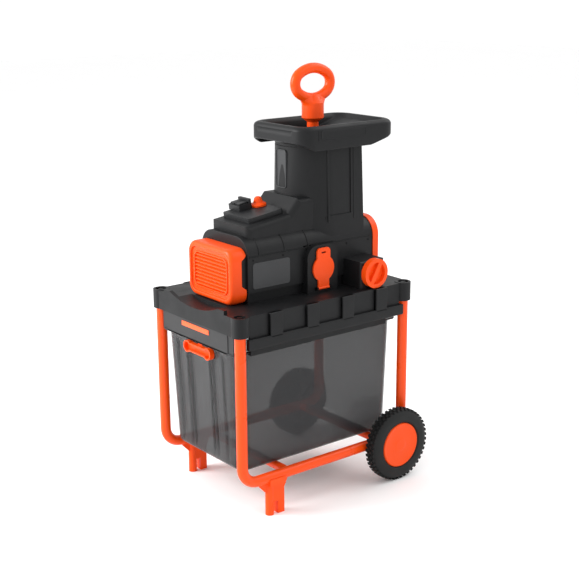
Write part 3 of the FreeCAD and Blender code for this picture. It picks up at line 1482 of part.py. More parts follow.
def labels():
    """Blank plates: one on the housing side, one wrapped round the hopper front."""
    side = box("side_label", (S.house_half_width + S.fit_gap, S.house_half_width + 1),
               (S.side_label_front, S.side_label_back), (S.side_label_bottom, S.side_label_top))
    outer = hopper_solid("label_outer", S.label_thick, S.house_seam, S.hopper_joint)
    inner = hopper_solid("label_inner", S.fit_gap, S.house_seam - 1, S.hopper_joint + 1)
    window = box("window", (S.hopper_label_left, S.hopper_label_right),
                 (S.hopper_centre_y - 120, S.hopper_centre_y - 40),
                 (S.hopper_label_bottom, S.hopper_label_top))
    return [side, cut("hopper_label", common("label_sheet", outer, window), inner)]


# ---------------------------------------------------------------- assembly

def both_sides(right):
    """A right-hand piece and its mirror image."""
    name = right.Label.replace("_right", "_left")
    return [right, mirrored(name, right)]


NODES = [
    *both_sides(side_frame()),
    cross_bar("front_cross_bar", S.front_bar_y),
    cross_bar("rear_cross_bar", S.rear_bar_y),
    axle(),
    axle_rings("axle_washers", S.leg_x + S.tube_radius + 0.1, S.wheel_x - S.wheel_half_width + 0.6, 9),
    axle_rings("axle_clips", S.wheel_x + 8.5, S.wheel_x + 10, 10),
    *both_sides(foot()),
    leg_plugs(),
    *both_sides(wheel()),
    *both_sides(wheel_cover()),
    deck(),
    deck_screws(),
    *both_sides(runner()),
    collection_box(),
    box_strip(),
    box_catch(),
    box_switch(),
    lower_housing(),
    upper_housing(),
    motor_cover(),
    rear_cover(),
    housing_screws(),
    hopper(),
    funnel(),
    plunger(),
    flap(),
    flap_hinge(),
    adjusting_knob(),
    adjusting_screw(),
    pressure_plate(),
    *drive_train(),
    *controls(),
    *power_inlet(),
    *labels(),
]


def centre_on_origin(node):
    """Move a finished piece from the legs' plan centre to the plan centre of the whole machine."""
    middle = (S.wheel_y + S.wheel_radius - S.corner_out_y) / 2
    held = dict(node.ExpressionEngine)
    where = held.get("Placement.Base.y", held.get(".Placement.Base.y", "0"))
    node.setExpression("Placement.Base.y", f"{where} - {middle.formula}")


def write_pieces(nodes):
    """Check that everything was rebuilt soundly, then write one file for each piece."""
    for thing in doc.Objects:
        if "Invalid" in thing.State or "Error" in thing.State:
            raise RuntimeError(f"{thing.Label} did not recompute: {thing.State}")
    for node in nodes:
        if node.Shape.isNull() or not node.Shape.isValid():
            raise RuntimeError(f"{node.Label} has no sound shape")
    os.makedirs("parts", exist_ok=True)
    for node in nodes:
        node.Shape.exportStep(f"parts/{node.Label}.step")


doc.recompute()
for piece in NODES:
    # a mirror image follows the piece it is made from
    if piece.TypeId != "Part::Mirroring":
        centre_on_origin(piece)
doc.recompute()
write_pieces(NODES)
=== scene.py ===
import json
import math
from collections import namedtuple

import bmesh
import bpy
from mathutils import Matrix, Vector


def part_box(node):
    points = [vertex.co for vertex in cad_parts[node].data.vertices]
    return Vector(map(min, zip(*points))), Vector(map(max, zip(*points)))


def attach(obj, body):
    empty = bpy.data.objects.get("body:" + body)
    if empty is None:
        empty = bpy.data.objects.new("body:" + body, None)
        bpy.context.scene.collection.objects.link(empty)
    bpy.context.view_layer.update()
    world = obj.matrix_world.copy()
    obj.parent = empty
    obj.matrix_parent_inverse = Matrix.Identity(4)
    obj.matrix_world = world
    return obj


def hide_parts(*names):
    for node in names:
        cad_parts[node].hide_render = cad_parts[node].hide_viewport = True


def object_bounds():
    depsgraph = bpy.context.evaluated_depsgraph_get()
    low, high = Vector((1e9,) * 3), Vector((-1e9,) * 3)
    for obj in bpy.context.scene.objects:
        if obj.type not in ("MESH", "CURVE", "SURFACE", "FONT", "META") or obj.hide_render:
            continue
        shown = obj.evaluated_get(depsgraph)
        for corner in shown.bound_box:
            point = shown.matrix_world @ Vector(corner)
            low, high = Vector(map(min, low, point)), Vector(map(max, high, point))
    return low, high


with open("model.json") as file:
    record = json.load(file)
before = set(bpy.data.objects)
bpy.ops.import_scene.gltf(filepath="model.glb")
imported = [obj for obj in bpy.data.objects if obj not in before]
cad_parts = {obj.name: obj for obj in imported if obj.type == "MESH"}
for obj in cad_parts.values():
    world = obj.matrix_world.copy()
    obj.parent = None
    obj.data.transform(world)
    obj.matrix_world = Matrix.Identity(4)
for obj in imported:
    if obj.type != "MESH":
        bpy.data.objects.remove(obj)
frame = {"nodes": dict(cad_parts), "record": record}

CAD_LOW, CAD_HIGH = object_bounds()
HEIGHT = CAD_HIGH.z
MM = 0.001

# Sizes that more than one piece uses: the housing's round shoulders and how far the hopper narrows.
SHOULDER_RADIUS = 42 * MM
HOPPER_TAPER = 5 * MM

# The machine faces -Y: the camera stands off its front right corner.
VIEW_AZIMUTH = math.radians(51.78)
VIEW_ELEVATION = math.radians(15.08)
VIEW_ROLL = math.radians(-0.37)
VIEW_DISTANCE = 2.794 * HEIGHT
AIM_RIGHT = 0.0043 * HEIGHT
AIM_UP = -0.0287 * HEIGHT
LENS = 72.93


# ---------------------------------------------------------------- materials

class Look:
    """A material being built: its Principled shader and the nodes that feed it."""

    def __init__(self, name):
        self.material = bpy.data.materials.new(name)
        self.material.use_nodes = True
        self.tree = self.material.node_tree
        self.shader = self.tree.nodes["Principled BSDF"]
        self.place = self.node("ShaderNodeTexCoord").outputs["Object"]

    def node(self, kind, **inputs):
        made = self.tree.nodes.new(kind)
        for name, value in inputs.items():
            self.feed(made, name.replace("_", " "), value)
        return made

    def feed(self, node, name, value):
        """Set an input to a number, or link another node's output to it."""
        if isinstance(value, bpy.types.NodeSocket):
            self.tree.links.new(value, node.inputs[name])
        else:
            node.inputs[name].default_value = value

    def noise(self, scale, detail=4.0):
        return self.node("ShaderNodeTexNoise", Vector=self.place, Scale=scale, Detail=detail).outputs["Fac"]

    def between(self, value, low, high, out_low, out_high):
        """Map a value's range onto another range."""
        made = self.node("ShaderNodeMapRange", Value=value, From_Min=low, From_Max=high,
                         To_Min=out_low, To_Max=out_high)
        return made.outputs["Result"]

    def times(self, first, second):
        made = self.tree.nodes.new("ShaderNodeMath")
        made.operation = "MULTIPLY"
        for socket, value in zip(made.inputs, (first, second)):
            if isinstance(value, bpy.types.NodeSocket):
                self.tree.links.new(value, socket)
            else:
                socket.default_value = value
        return made.outputs[0]

    def blend(self, share, first, second):
        """Mix two colours; each is a node's output or an r, g, b triple."""
        made = self.tree.nodes.new("ShaderNodeMix")
        made.data_type = "RGBA"
        self.tree.links.new(share, made.inputs["Factor"])
        for name, value in (("A", first), ("B", second)):
            socket = next(s for s in made.inputs if s.name == name and s.type == "RGBA")
            if isinstance(value, bpy.types.NodeSocket):
                self.tree.links.new(value, socket)
            else:
                socket.default_value = (*value, 1)
        return next(s for s in made.outputs if s.type == "RGBA")

    def edges(self, radius):
        """How sharply the surface turns here: 0 on flats and 1 on edges."""
        soft = self.node("ShaderNodeBevel", Radius=radius).outputs["Normal"]
        hard = self.tree.nodes.new("ShaderNodeNewGeometry").outputs["Normal"]
        dot = self.tree.nodes.new("ShaderNodeVectorMath")
        dot.operation = "DOT_PRODUCT"
        self.tree.links.new(soft, dot.inputs[0])
        self.tree.links.new(hard, dot.inputs[1])
        return self.between(dot.outputs["Value"], 0.99, 0.80, 0.0, 1.0)


def scaled(colour, factor):
    """The colour made brighter or darker."""
    return tuple(min(1.0, c * factor) for c in colour)


def moulded(name, colour, roughness, grain=900.0, grain_depth=0.00003, spread=0.12, wear=0.5, specular=0.5):
    """Moulded plastic: uneven tone, fine grain and edges rubbed a little paler."""
    look = Look(name)
    broad = look.noise(7.0)
    cloudy = look.blend(broad, scaled(colour, 1 - spread), scaled(colour, 1 + spread))
    rubbed = look.times(look.edges(0.0012), look.between(look.noise(60.0), 0.35, 0.65, 0.1, wear))
    look.feed(look.shader, "Base Color", look.blend(rubbed, cloudy, scaled(colour, 1.5)))
    patchy = look.between(look.noise(25.0), 0.3, 0.7, roughness - 0.05, roughness + 0.06)
    look.feed(look.shader, "Roughness", patchy)
    look.shader.inputs["Specular IOR Level"].default_value = specular
    bump = look.node("ShaderNodeBump", Height=look.noise(grain, 2.0), Distance=grain_depth, Strength=0.6)
    look.feed(look.shader, "Normal", bump.outputs["Normal"])
    return look


def black_plastic():
    return moulded("black_plastic", (0.0075, 0.0078, 0.0085), 0.48, spread=0.10, specular=0.22).material


def control_plastic():
    return moulded("control_plastic", (0.010, 0.0105, 0.0115), 0.48, grain=1400.0, specular=0.30).material


def tyre_plastic():
    return moulded("tyre_plastic", (0.009, 0.0095, 0.0095), 0.58, grain=500.0, grain_depth=0.00006,
                   specular=0.25).material


def orange_plastic():
    return moulded("orange_plastic", (0.85, 0.070, 0.004), 0.34, grain=1200.0, grain_depth=0.00001,
                   spread=0.05, wear=0.3, specular=0.2).material


def orange_paint():
    """Powder coat over steel: orange peel, a clear gloss and small chips along edges."""
    look = moulded("orange_paint", (0.85, 0.070, 0.004), 0.30, grain=420.0, grain_depth=0.00002,
                   spread=0.05, wear=0.25, specular=0.2)
    look.shader.inputs["Coat Weight"].default_value = 0.1
    look.shader.inputs["Coat Roughness"].default_value = 0.12
    return look.material


def pale_orange():
    return moulded("pale_orange", (0.95, 0.12, 0.035), 0.40, spread=0.03, specular=0.2).material


def label_film():
    return moulded("label_film", (0.034, 0.035, 0.037), 0.42, grain=2000.0, grain_depth=0.00001,
                   spread=0.04, wear=0.2, specular=0.35).material


def smoked_plastic():
    """The box's smoke-tinted plastic, which lets a little of what is behind it show."""
    look = moulded("smoked_plastic", (0.030, 0.031, 0.033), 0.36, grain=700.0, grain_depth=0.00001,
                   spread=0.04, wear=0.15, specular=0.30)
    look.shader.inputs["Alpha"].default_value = 0.57
    return look.material


def thick_smoked_plastic():
    """The same plastic where it is thick enough to look solid."""
    return moulded("thick_smoked_plastic", (0.016, 0.0165, 0.0175), 0.40, grain=700.0, grain_depth=0.00001,
                   spread=0.05, wear=0.2, specular=0.30).material


def metal(name, colour, roughness, spread=0.10):
    """Bare metal with fine turning marks and dull patches."""
    look = Look(name)
    look.shader.inputs["Metallic"].default_value = 1.0
    look.feed(look.shader, "Base Color",
              look.blend(look.noise(30.0), scaled(colour, 1 - spread), scaled(colour, 1 + spread)))
    look.feed(look.shader, "Roughness",
              look.between(look.noise(80.0), 0.3, 0.7, roughness - 0.06, roughness + 0.08))
    bump = look.node("ShaderNodeBump", Height=look.noise(1500.0, 2.0), Distance=0.00002, Strength=0.4)
    look.feed(look.shader, "Normal", bump.outputs["Normal"])
    return look.material


def bright_steel():
    return metal("bright_steel", (0.62, 0.62, 0.60), 0.28)


def dark_steel():
    return metal("dark_steel", (0.24, 0.23, 0.22), 0.45, spread=0.2)


def cast_aluminium():
    return metal("cast_aluminium", (0.66, 0.67, 0.68), 0.42)


LOOKS = {
    "orange_steel": orange_paint(),
    "orange_plastic": orange_plastic(),
    "black_plastic": black_plastic(),
    "control_plastic": control_plastic(),
    "box_plastic": smoked_plastic(),
    "wheel_plastic": tyre_plastic(),
    "steel": bright_steel(),
    "cast_steel": dark_steel(),
    "aluminium": cast_aluminium(),
    "label_film": label_film(),
}
# small steel pieces that are blackened, and the strip in a paler plastic than its slot
BLACKENED = metal("blackened_steel", (0.02, 0.02, 0.021), 0.55)
NODE_LOOKS = {"housing_screws": BLACKENED, "flap_hinge": BLACKENED, "deck_screws": BLACKENED,
              "box_strip": pale_orange()}
NODE_SLOT = {entry["node"]: entry["material_slot"] for entry in frame["record"]["subparts"]}


def paint_nodes():
    """Give every CAD piece the material of its slot and slightly rounded edges."""
    for name, node in frame["nodes"].items():
        node.data.materials.clear()
        node.data.materials.append(NODE_LOOKS.get(name, LOOKS[NODE_SLOT[name]]))
        soften(node, 0.8 * MM)


def soften(target, width):
    """Round an object's sharp edges a little and shade its curved faces smoothly."""
    bevel = target.modifiers.new("edge_rounding", "BEVEL")
    bevel.width = width
    bevel.segments = 2
    bevel.limit_method = "ANGLE"
    bevel.angle_limit = math.radians(40)
    bevel.harden_normals = False
    for face in target.data.polygons:
        face.use_smooth = True
    smooth = target.modifiers.new("even_shading", "WEIGHTED_NORMAL")
    smooth.keep_sharp = False


# ---------------------------------------------------------------- mesh helpers

class Span:
    """The box of a CAD piece, as named edges in metres."""

    def __init__(self, node):
        low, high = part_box(node)
        self.x0, self.y0, self.z0 = low
        self.x1, self.y1, self.z1 = high
        self.middle = Vector(((self.x0 + self.x1) / 2, (self.y0 + self.y1) / 2, (self.z0 + self.z1) / 2))


def round_rect(x0, x1, y0, y1, radius, steps=8, parts=1, low_radius=None):
    """Points of a rectangle with round corners, counter-clockwise.

    Each straight side has the given number of parts. low_radius gives the two corners at y0 their own radius.
    """
    low = radius if low_radius is None else low_radius
    centres = ((x1 - low, y0 + low, low, -90), (x1 - radius, y1 - radius, radius, 0),
               (x0 + radius, y1 - radius, radius, 90), (x0 + low, y0 + low, low, 180))
    corners = []
    for cx, cy, size, start in centres:
        angles = [math.radians(start + 90 * i / steps) for i in range(steps + 1)]
        corners.append([(cx + size * math.cos(angle), cy + size * math.sin(angle)) for angle in angles])
    points = []
    for corner, following in zip(corners, corners[1:] + corners[:1]):
        points += corner
        start, end = corner[-1], following[0]
        for i in range(1, parts):
            points.append(tuple(a + (b - a) * i / parts for a, b in zip(start, end)))
    return points


def circle(radius, count):
    """Points of a circle about the origin."""
    angles = [2 * math.pi * i / count for i in range(count)]
    return [(radius * math.cos(angle), radius * math.sin(angle)) for angle in angles]


def loft(mesh, rings, close_start=True, close_end=True):
    """Skin a row of rings that have the same number of points, and cap the ends."""
    loops = [[mesh.verts.new(point) for point in ring] for ring in rings]
    for near, far in zip(loops, loops[1:]):
        for i in range(len(near)):
            j = (i + 1) % len(near)
            mesh.faces.new((near[i], near[j], far[j], far[i]))
    if close_start:
        mesh.faces.new(loops[0][::-1])
    if close_end:
        mesh.faces.new(loops[-1])


def spun(mesh, profile, centre, axis, count=96):
    """Turn a profile of (distance along the axis, radius) into a body of revolution."""
    turn = Vector(axis).to_track_quat("Z", "Y")
    rings = []
    for along, radius in profile:
        ring = circle(max(radius, 1e-5), count)
        rings.append([centre + turn @ Vector((a, b, along)) for a, b in ring])
    loft(mesh, rings)


def block(mesh, low, high, turn=None, centre=None):
    """A box between two corners, optionally turned about a centre."""
    ends = list(zip(low, high))
    corners = [Vector((x, y, z)) for x in ends[0] for y in ends[1] for z in ends[2]]
    if turn is not None:
        corners = [centre + turn @ (corner - centre) for corner in corners]
    verts = [mesh.verts.new(corner) for corner in corners]
    for face in ((0, 1, 3, 2), (4, 6, 7, 5), (0, 4, 5, 1), (2, 3, 7, 6), (0, 2, 6, 4), (1, 5, 7, 3)):
        mesh.faces.new([verts[corner] for corner in face])


def standing(points, y):
    """A ring of x, z points placed at one y."""
    return [Vector((x, y, z)) for x, z in points]


def sideways(points, x):
    """A ring of y, z points placed at one x."""
    return [Vector((x, y, z)) for y, z in points]


def level(points, z):
    """A ring of x, y points placed at one height."""
    return [Vector((x, y, z)) for x, y in points]


def piece(name, mesh, body, slot, *replaced, look=None, edge=0.6 * MM):
    """Finish a mesh as a piece that rides a body, takes a slot's material and stands for CAD nodes."""
    bmesh.ops.remove_doubles(mesh, verts=mesh.verts, dist=1e-6)
    bmesh.ops.recalc_face_normals(mesh, faces=mesh.faces)
    data = bpy.data.meshes.new(name)
    mesh.to_mesh(data)
    mesh.free()
    made = bpy.data.objects.new(name, data)
    bpy.context.scene.collection.objects.link(made)
    data.materials.append(look or LOOKS[slot])
    soften(made, edge)
    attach(made, body)
    if replaced:
        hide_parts(*replaced)


# ---------------------------------------------------------------- wheels

def tread_blocks(mesh, centre, radius, low, high):
    """Staggered rows of small blocks around the tyre, each narrower at its top."""
    rows = 4
    count = 44
    base = radius - 3.2 * MM
    width = (high - low) / rows
    half_length = math.pi * radius / count * 0.62
    corners = ((-1, -1), (1, -1), (1, 1), (-1, 1))
    for row in range(rows):
        middle = low + (row + 0.5) * width
        outermost = row in (0, rows - 1)
        top = radius - (1.0 * MM if outermost else 0)
        for i in range(count):
            turn = Matrix.Rotation(2 * math.pi * (i + 0.5 * (row % 2)) / count, 3, "X")
            rings = []
            for height, share in ((base, 1.0), (top, 0.78)):
                across = width * 0.42 * share
                along = half_length * share
                points = [Vector((middle + a * across, b * along, height)) for a, b in corners]
                rings.append([centre + turn @ point for point in points])
            loft(mesh, rings)


def wheel(side, name):
    """Knobbly tyre with smooth side walls round a ribbed web."""
    span = Span(f"wheel_{name}")
    cover = Span(f"wheel_cover_{name}")
    centre = span.middle
    radius = (span.z1 - span.z0) / 2
    half = (span.x1 - span.x0) / 2
    cover_radius = (cover.z1 - cover.z0) / 2
    carcass = radius - 3 * MM
    bore = 5.2 * MM
    half_web = 3 * MM
    hub = 14 * MM
    side_wall = [(3 * MM, cover_radius + 1 * MM), (0, cover_radius + 4 * MM), (0, carcass - 16 * MM),
                 (1.5 * MM, carcass - 8 * MM), (5 * MM, carcass - 2 * MM), (9 * MM, carcass)]
    profile = [(-half + 1 * MM, bore), (-half + 1 * MM, hub),
               (-half_web, hub + 1 * MM), (-half_web, cover_radius)]
    profile += [(-half + inset, reach) for inset, reach in side_wall]
    profile += [(half - inset, reach) for inset, reach in reversed(side_wall)]
    profile += [(half_web, cover_radius), (half_web, hub + 1 * MM),
                (half - 9 * MM, hub), (half - 9 * MM, bore)]
    mesh = bmesh.new()
    spun(mesh, [(along * side, reach) for along, reach in profile], centre, (1, 0, 0))
    tread_blocks(mesh, centre, radius, -half + 3 * MM, half - 3 * MM)
    spokes = 8
    half_thick = 1.2 * MM
    near, far = sorted((-side * (half - 6 * MM), -side * 2 * MM))
    for i in range(spokes):
        turn = Matrix.Rotation(2 * math.pi * i / spokes, 3, "X")
        block(mesh, (centre.x + near, centre.y - half_thick, centre.z + 12 * MM),
              (centre.x + far, centre.y + half_thick, centre.z + cover_radius), turn, centre)
    piece(f"tyre_{name}", mesh, f"{name}_wheel", "wheel_plastic", f"wheel_{name}", edge=0.4 * MM)


def wheel_cover(side, name):
    """Round cover: a rolled edge, a shallow dish and a barely raised middle."""
    span = Span(f"wheel_cover_{name}")
    radius = (span.z1 - span.z0) / 2
    depth = span.x1 - span.x0
    profile = [(0, radius - 2 * MM), (0, radius), (depth - 3 * MM, radius),
               (depth - 1 * MM, radius - 1 * MM), (depth, radius - 3 * MM),
               (depth - 0.3 * MM, radius - 5 * MM), (depth - 1.6 * MM, radius - 8 * MM),
               (depth - 2.4 * MM, radius * 0.6), (depth - 2.1 * MM, radius * 0.34),
               (depth - 0.9 * MM, radius * 0.28), (depth - 0.7 * MM, radius * 0.2), (depth - 0.7 * MM, 0)]
    mesh = bmesh.new()
    start = span.x0 if side > 0 else span.x1
    centre = Vector((start, span.middle.y, span.middle.z))
    spun(mesh, [(along * side, r) for along, r in profile], centre, (1, 0, 0))
    piece(f"hub_cover_{name}", mesh, f"{name}_wheel", "orange_plastic", f"wheel_cover_{name}")


# ---------------------------------------------------------------- motor cover

def cover_ring(span, inset, y, radius):
    """One outline of the motor cover at a depth, set in from its outer size."""
    points = round_rect(span.x0 + inset, span.x1 - inset, span.z0 + inset, span.z1 - inset, radius, 8, 24)
    return standing(points, y)


def notched(ring, span, depth):
    """Draw the ring's upright sides forward between the lower and upper corners."""
    height = span.z1 - span.z0
    low = span.z0 + 0.27 * height
    high = span.z0 + 0.87 * height
    slope = 9 * MM
    side_strip = 4 * MM
    moved = []
    for point in ring:
        on_side = min(abs(point.x - span.x0), abs(point.x - span.x1)) < side_strip
        reach = min(point.z - low, high - point.z) / slope
        share = max(0.0, min(1.0, reach)) if on_side else 0.0
        moved.append(Vector((point.x, point.y - depth * share, point.z)))
    return moved


def motor_cover():
    """Louvred cover: rounded shell, sunk face, raised inner frame and sloping slats."""
    span = Span("motor_cover")
    front, back = span.y0, span.y1
    # how far each outline is set in, where it stands and the radius of its corners
    skirt = [(3.0, back - 14 * MM, 22), (3.0, back, 22), (0.0, back, 25)]
    shell = [(0.0, back - 16 * MM, 25), (0.0, front + 11 * MM, 25), (1.2, front + 5.5 * MM, 25),
             (3.6, front + 2 * MM, 24), (7.0, front + 0.3 * MM, 22), (9.5, front, 21),
             (12.0, front + 0.8 * MM, 20), (13.0, front + 5 * MM, 20), (21.0, front + 5.4 * MM, 16),
             (22.0, front + 2.6 * MM, 15), (25.0, front + 2.4 * MM, 14), (26.0, front + 9 * MM, 13)]
    notch = 13 * MM
    rings = [notched(cover_ring(span, inset * MM, y, radius * MM), span, notch) for inset, y, radius in skirt]
    rings += [cover_ring(span, inset * MM, y, radius * MM) for inset, y, radius in shell]
    mesh = bmesh.new()
    loft(mesh, rings, close_start=False)
    grille(mesh, span, 26 * MM)
    piece("louvred_cover", mesh, "stand", "orange_plastic", "motor_cover", edge=0.5 * MM)


def grille(mesh, span, inset):
    """Sloping slats across the inner frame, which is set in this far from the cover's edges."""
    count = 9
    half = span.x1 - inset
    low = span.z0 + inset
    pitch = (span.z1 - inset - low) / count
    root = span.y0 + 9 * MM
    for i in range(count):
        z = low + pitch * (i + 0.5)
        section = [(root, z - 0.42 * pitch), (span.y0 + 4.4 * MM, z - 0.30 * pitch),
                   (span.y0 + 3.4 * MM, z - 0.10 * pitch), (span.y0 + 4.2 * MM, z + 0.12 * pitch),
                   (root, z + 0.42 * pitch)]
        loft(mesh, [sideways(section, x) for x in (-half, half)])


# ---------------------------------------------------------------- housing

def housing():
    """Span of the machine's housing above its seam, without the hood; the rear cap stands a little higher."""
    shell = Span("upper_housing")
    shell.z1 = Span("rear_cover").z1 - 2 * MM
    return shell


def shoulder_outline(half, bottom, top, radius, steps=12):
    """Front view of the housing: square at the bottom and round at both upper corners."""
    points = [(-half, bottom), (half, bottom)]
    for cx, start in ((half - radius, 0), (radius - half, 90)):
        for i in range(steps + 1):
            angle = math.radians(start + 90 * i / steps)
            points.append((cx + radius * math.cos(angle), top - radius + radius * math.sin(angle)))
    return points


def housing_front():
    """Front wall of the upper housing and the rounded nose that the louvred cover slips over."""
    shell = housing()
    cover = Span("motor_cover")
    front = shell.y0
    rings = []
    for inset, y in ((0.5 * MM, front - 0.3 * MM), (0.2 * MM, front + 0.6 * MM), (0.2 * MM, front + 3 * MM)):
        outline = shoulder_outline(shell.x1 - inset, cover.z0 + 6 * MM, shell.z1 - inset,
                                   SHOULDER_RADIUS - inset)
        rings.append(standing(outline, y))
    crown = [Vector((point.x * 0.97, front - 0.8 * MM, point.z * 0.995 + 2 * MM)) for point in rings[0]]
    mesh = bmesh.new()
    loft(mesh, [crown, *rings])
    nose_front = cover.y0 + 26 * MM
    nose = []
    for inset, y in ((7 * MM, nose_front), (3 * MM, nose_front + 1.5 * MM), (0.8 * MM, nose_front + 4.5 * MM),
                     (0, nose_front + 9 * MM), (0, front)):
        aside = 4 * MM + inset
        above = 5 * MM + inset
        points = round_rect(cover.x0 + aside, cover.x1 - aside, cover.z0 + above, cover.z1 - above, 20 * MM)
        nose.append(standing(points, y))
    loft(mesh, nose)
    piece("housing_front_wall", mesh, "stand", "black_plastic", edge=0.5 * MM)


def shoulder_ribs():
    """Thin ribs that run over both shoulders of the upper housing."""
    shell = housing()
    centre_x = shell.x1 - SHOULDER_RADIUS
    centre_z = shell.z1 - SHOULDER_RADIUS
    steps = 12
    half_foot = 2.2 * MM
    mesh = bmesh.new()
    for along in (32 * MM, 104 * MM, 172 * MM):
        for side in (-1, 1):
            rings = []
            for i in range(steps + 1):
                angle = math.radians(-8 + 68 * i / steps)
                ring = []
                for out, share in ((-1.0, -1), (1.3, -0.7), (1.3, 0.7), (-1.0, 1)):
                    reach = SHOULDER_RADIUS + out * MM
                    ring.append(Vector((side * (centre_x + reach * math.cos(angle)),
                                        shell.y0 + along + share * half_foot,
                                        max(shell.z0, centre_z + reach * math.sin(angle)))))
                rings.append(ring)
            loft(mesh, rings)
    piece("housing_shoulder_ribs", mesh, "stand", "black_plastic", edge=0.3 * MM)


def seam_ledge():
    """The two lips where the housing halves meet, along both sides."""
    shell = housing()
    seam = shell.z0
    mesh = bmesh.new()
    for side in (-1, 1):
        inner, outer = sorted((side * (shell.x1 - 1 * MM), side * (shell.x1 + 1.2 * MM)))
        for bottom, top in ((seam - 2 * MM, seam - 0.2 * MM), (seam + 0.4 * MM, seam + 1.8 * MM)):
            block(mesh, (inner, shell.y0 + 4 * MM, bottom), (outer, shell.y1 - 3 * MM, top))
    piece("housing_seam_lip", mesh, "stand", "black_plastic", edge=0.4 * MM)


# ---------------------------------------------------------------- deck sides

def deck_sides():
    """Band along the foot of each deck side, and the upright pads that stand on it."""
    deck = Span("deck")
    legs = Span("side_frame_right")
    past_tube = 25.5 * MM
    front, back = legs.y0 + past_tube, legs.y1 - past_tube
    wall = 163 * MM
    reach = 174 * MM
    edge_reach = reach - 1.5 * MM
    band_top = deck.z0 + 25 * MM
    pad_foot = band_top - 4 * MM
    pad_top = deck.z0 + 76 * MM
    pad_width = 35 * MM
    mesh = bmesh.new()
    for side in (-1, 1):
        rings = []
        for z, out in ((deck.z0, edge_reach), (deck.z0 + 4 * MM, reach), (band_top - 2 * MM, reach),
                       (band_top, edge_reach)):
            low, high = sorted((side * wall, side * out))
            rings.append(level(((low, front), (high, front), (high, back), (low, back)), z))
        loft(mesh, rings)
        for i in range(4):
            start = deck.y0 + (90 + 104 * i) * MM
            rings = []
            for x, inset in ((wall, 0), (edge_reach, 0), (reach, 1.2 * MM)):
                outline = round_rect(start + inset, start + pad_width - inset, pad_foot, pad_top - inset,
                                     2 * MM, 4)
                rings.append(sideways(outline, side * x))
            loft(mesh, rings)
    piece("deck_side_pads", mesh, "stand", "black_plastic", edge=0.5 * MM)


# ---------------------------------------------------------------- funnel

def funnel_foot(y, span):
    """Height of the funnel skirt's lower edge at a place along the machine: it lifts towards both ends."""
    front_run = 36 * MM
    back_run = 80 * MM
    front = min(1.0, max(0.0, (span.y0 + front_run - y) / front_run))
    back = min(1.0, max(0.0, (y - span.y1 + back_run) / back_run))
    return span.z0 + 18 * MM * front + 21 * MM * back


def funnel_ring(span, inset, radius, share, lift=0.0):
    """A ring round the funnel, between its lower edge (share 0) and its top (share 1)."""
    outline = round_rect(span.x0 + inset, span.x1 - inset, span.y0 + inset, span.y1 - inset, radius, 8, 24)
    ring = []
    for x, y in outline:
        foot = funnel_foot(y, span)
        ring.append(Vector((x, y, foot + (span.z1 - foot) * share + lift)))
    return ring


def throat_ring(column, inset, rise, low_radius):
    """A ring above the mouth of the hopper column, with a half-round front."""
    outline = round_rect(column.x0 + inset, column.x1 - inset, column.y0 + inset, column.y1 - inset,
                         4 * MM, 8, 24, low_radius)
    return level(outline, column.z1 + rise)


def hopper_mouth():
    """Span of the hopper's column, drawn in on all sides to its size at the funnel."""
    column = Span("hopper")
    column.x0 += HOPPER_TAPER
    column.x1 -= HOPPER_TAPER
    column.y0 += HOPPER_TAPER
    column.y1 -= HOPPER_TAPER
    return column


def funnel():
    """Flared inlet: hollow skirt, thick rolled rim and a mouth that narrows to the column."""
    span = Span("funnel")
    column = hopper_mouth()
    corner = 36 * MM
    rim = 11 * MM
    # from the column, out under the skirt and up its side
    rings = [throat_ring(column, 0.4 * MM, 1 * MM, 82 * MM), throat_ring(column, 0.4 * MM, 6 * MM, 82 * MM)]
    for inset, share, lift in ((6, 0.0, 12), (3.5, 0.0, 0), (1.2, 0.0, 0),
                               (0, 0.0, 2), (0, 0.35, 0), (0, 0.72, 0)):
        rings.append(funnel_ring(span, inset * MM, corner, share, lift * MM))
    # over the rolled rim
    steps = 6
    for i in range(steps + 1):
        angle = math.radians(90 * i / steps)
        rings.append(funnel_ring(span, rim * (1 - math.cos(angle)), corner, 1.0, rim * (math.sin(angle) - 1)))
    for inset, drop in ((14, 0.2), (17, 1.6), (19.5, 5), (24, 11)):
        rings.append(funnel_ring(span, inset * MM, 26 * MM, 1.0, -drop * MM))
    # down the throat and back to the first ring
    for rise, radius in ((22, 60), (8, 78), (1, 79)):
        rings.append(throat_ring(column, 3 * MM, rise * MM, radius * MM))
    rings.append(rings[0])
    mesh = bmesh.new()
    loft(mesh, rings, False, False)
    piece("flared_funnel", mesh, "stand", "black_plastic", "funnel", edge=0.3 * MM)


def funnel_plate():
    """Blank raised plate with a thin border on the right-hand skirt, and a bar before it."""
    span = Span("funnel")
    face = span.x1
    root = face - 2 * MM
    low, high = span.z1 - 31 * MM, span.z1 - 9 * MM
    start, end = span.y0 + 54 * MM, span.y1 - 98 * MM
    mesh = bmesh.new()
    rings = []
    for x, inset in ((root, 0), (face + 0.5 * MM, 0), (face + 0.8 * MM, 0.5 * MM),
                     (face + 0.8 * MM, 2.2 * MM), (face + 0.2 * MM, 3.0 * MM), (face + 0.2 * MM, 5 * MM)):
        radius = 5.5 * MM - min(inset, 3 * MM)
        outline = round_rect(start + inset, end - inset, low + inset, high - inset, radius, 4)
        rings.append(sideways(outline, x))
    loft(mesh, rings)
    block(mesh, (root, start - 7 * MM, low - 2 * MM), (face + 0.8 * MM, start - 4 * MM, high))
    piece("funnel_blank_plate", mesh, "stand", "black_plastic", edge=0.3 * MM)


# ---------------------------------------------------------------- hopper

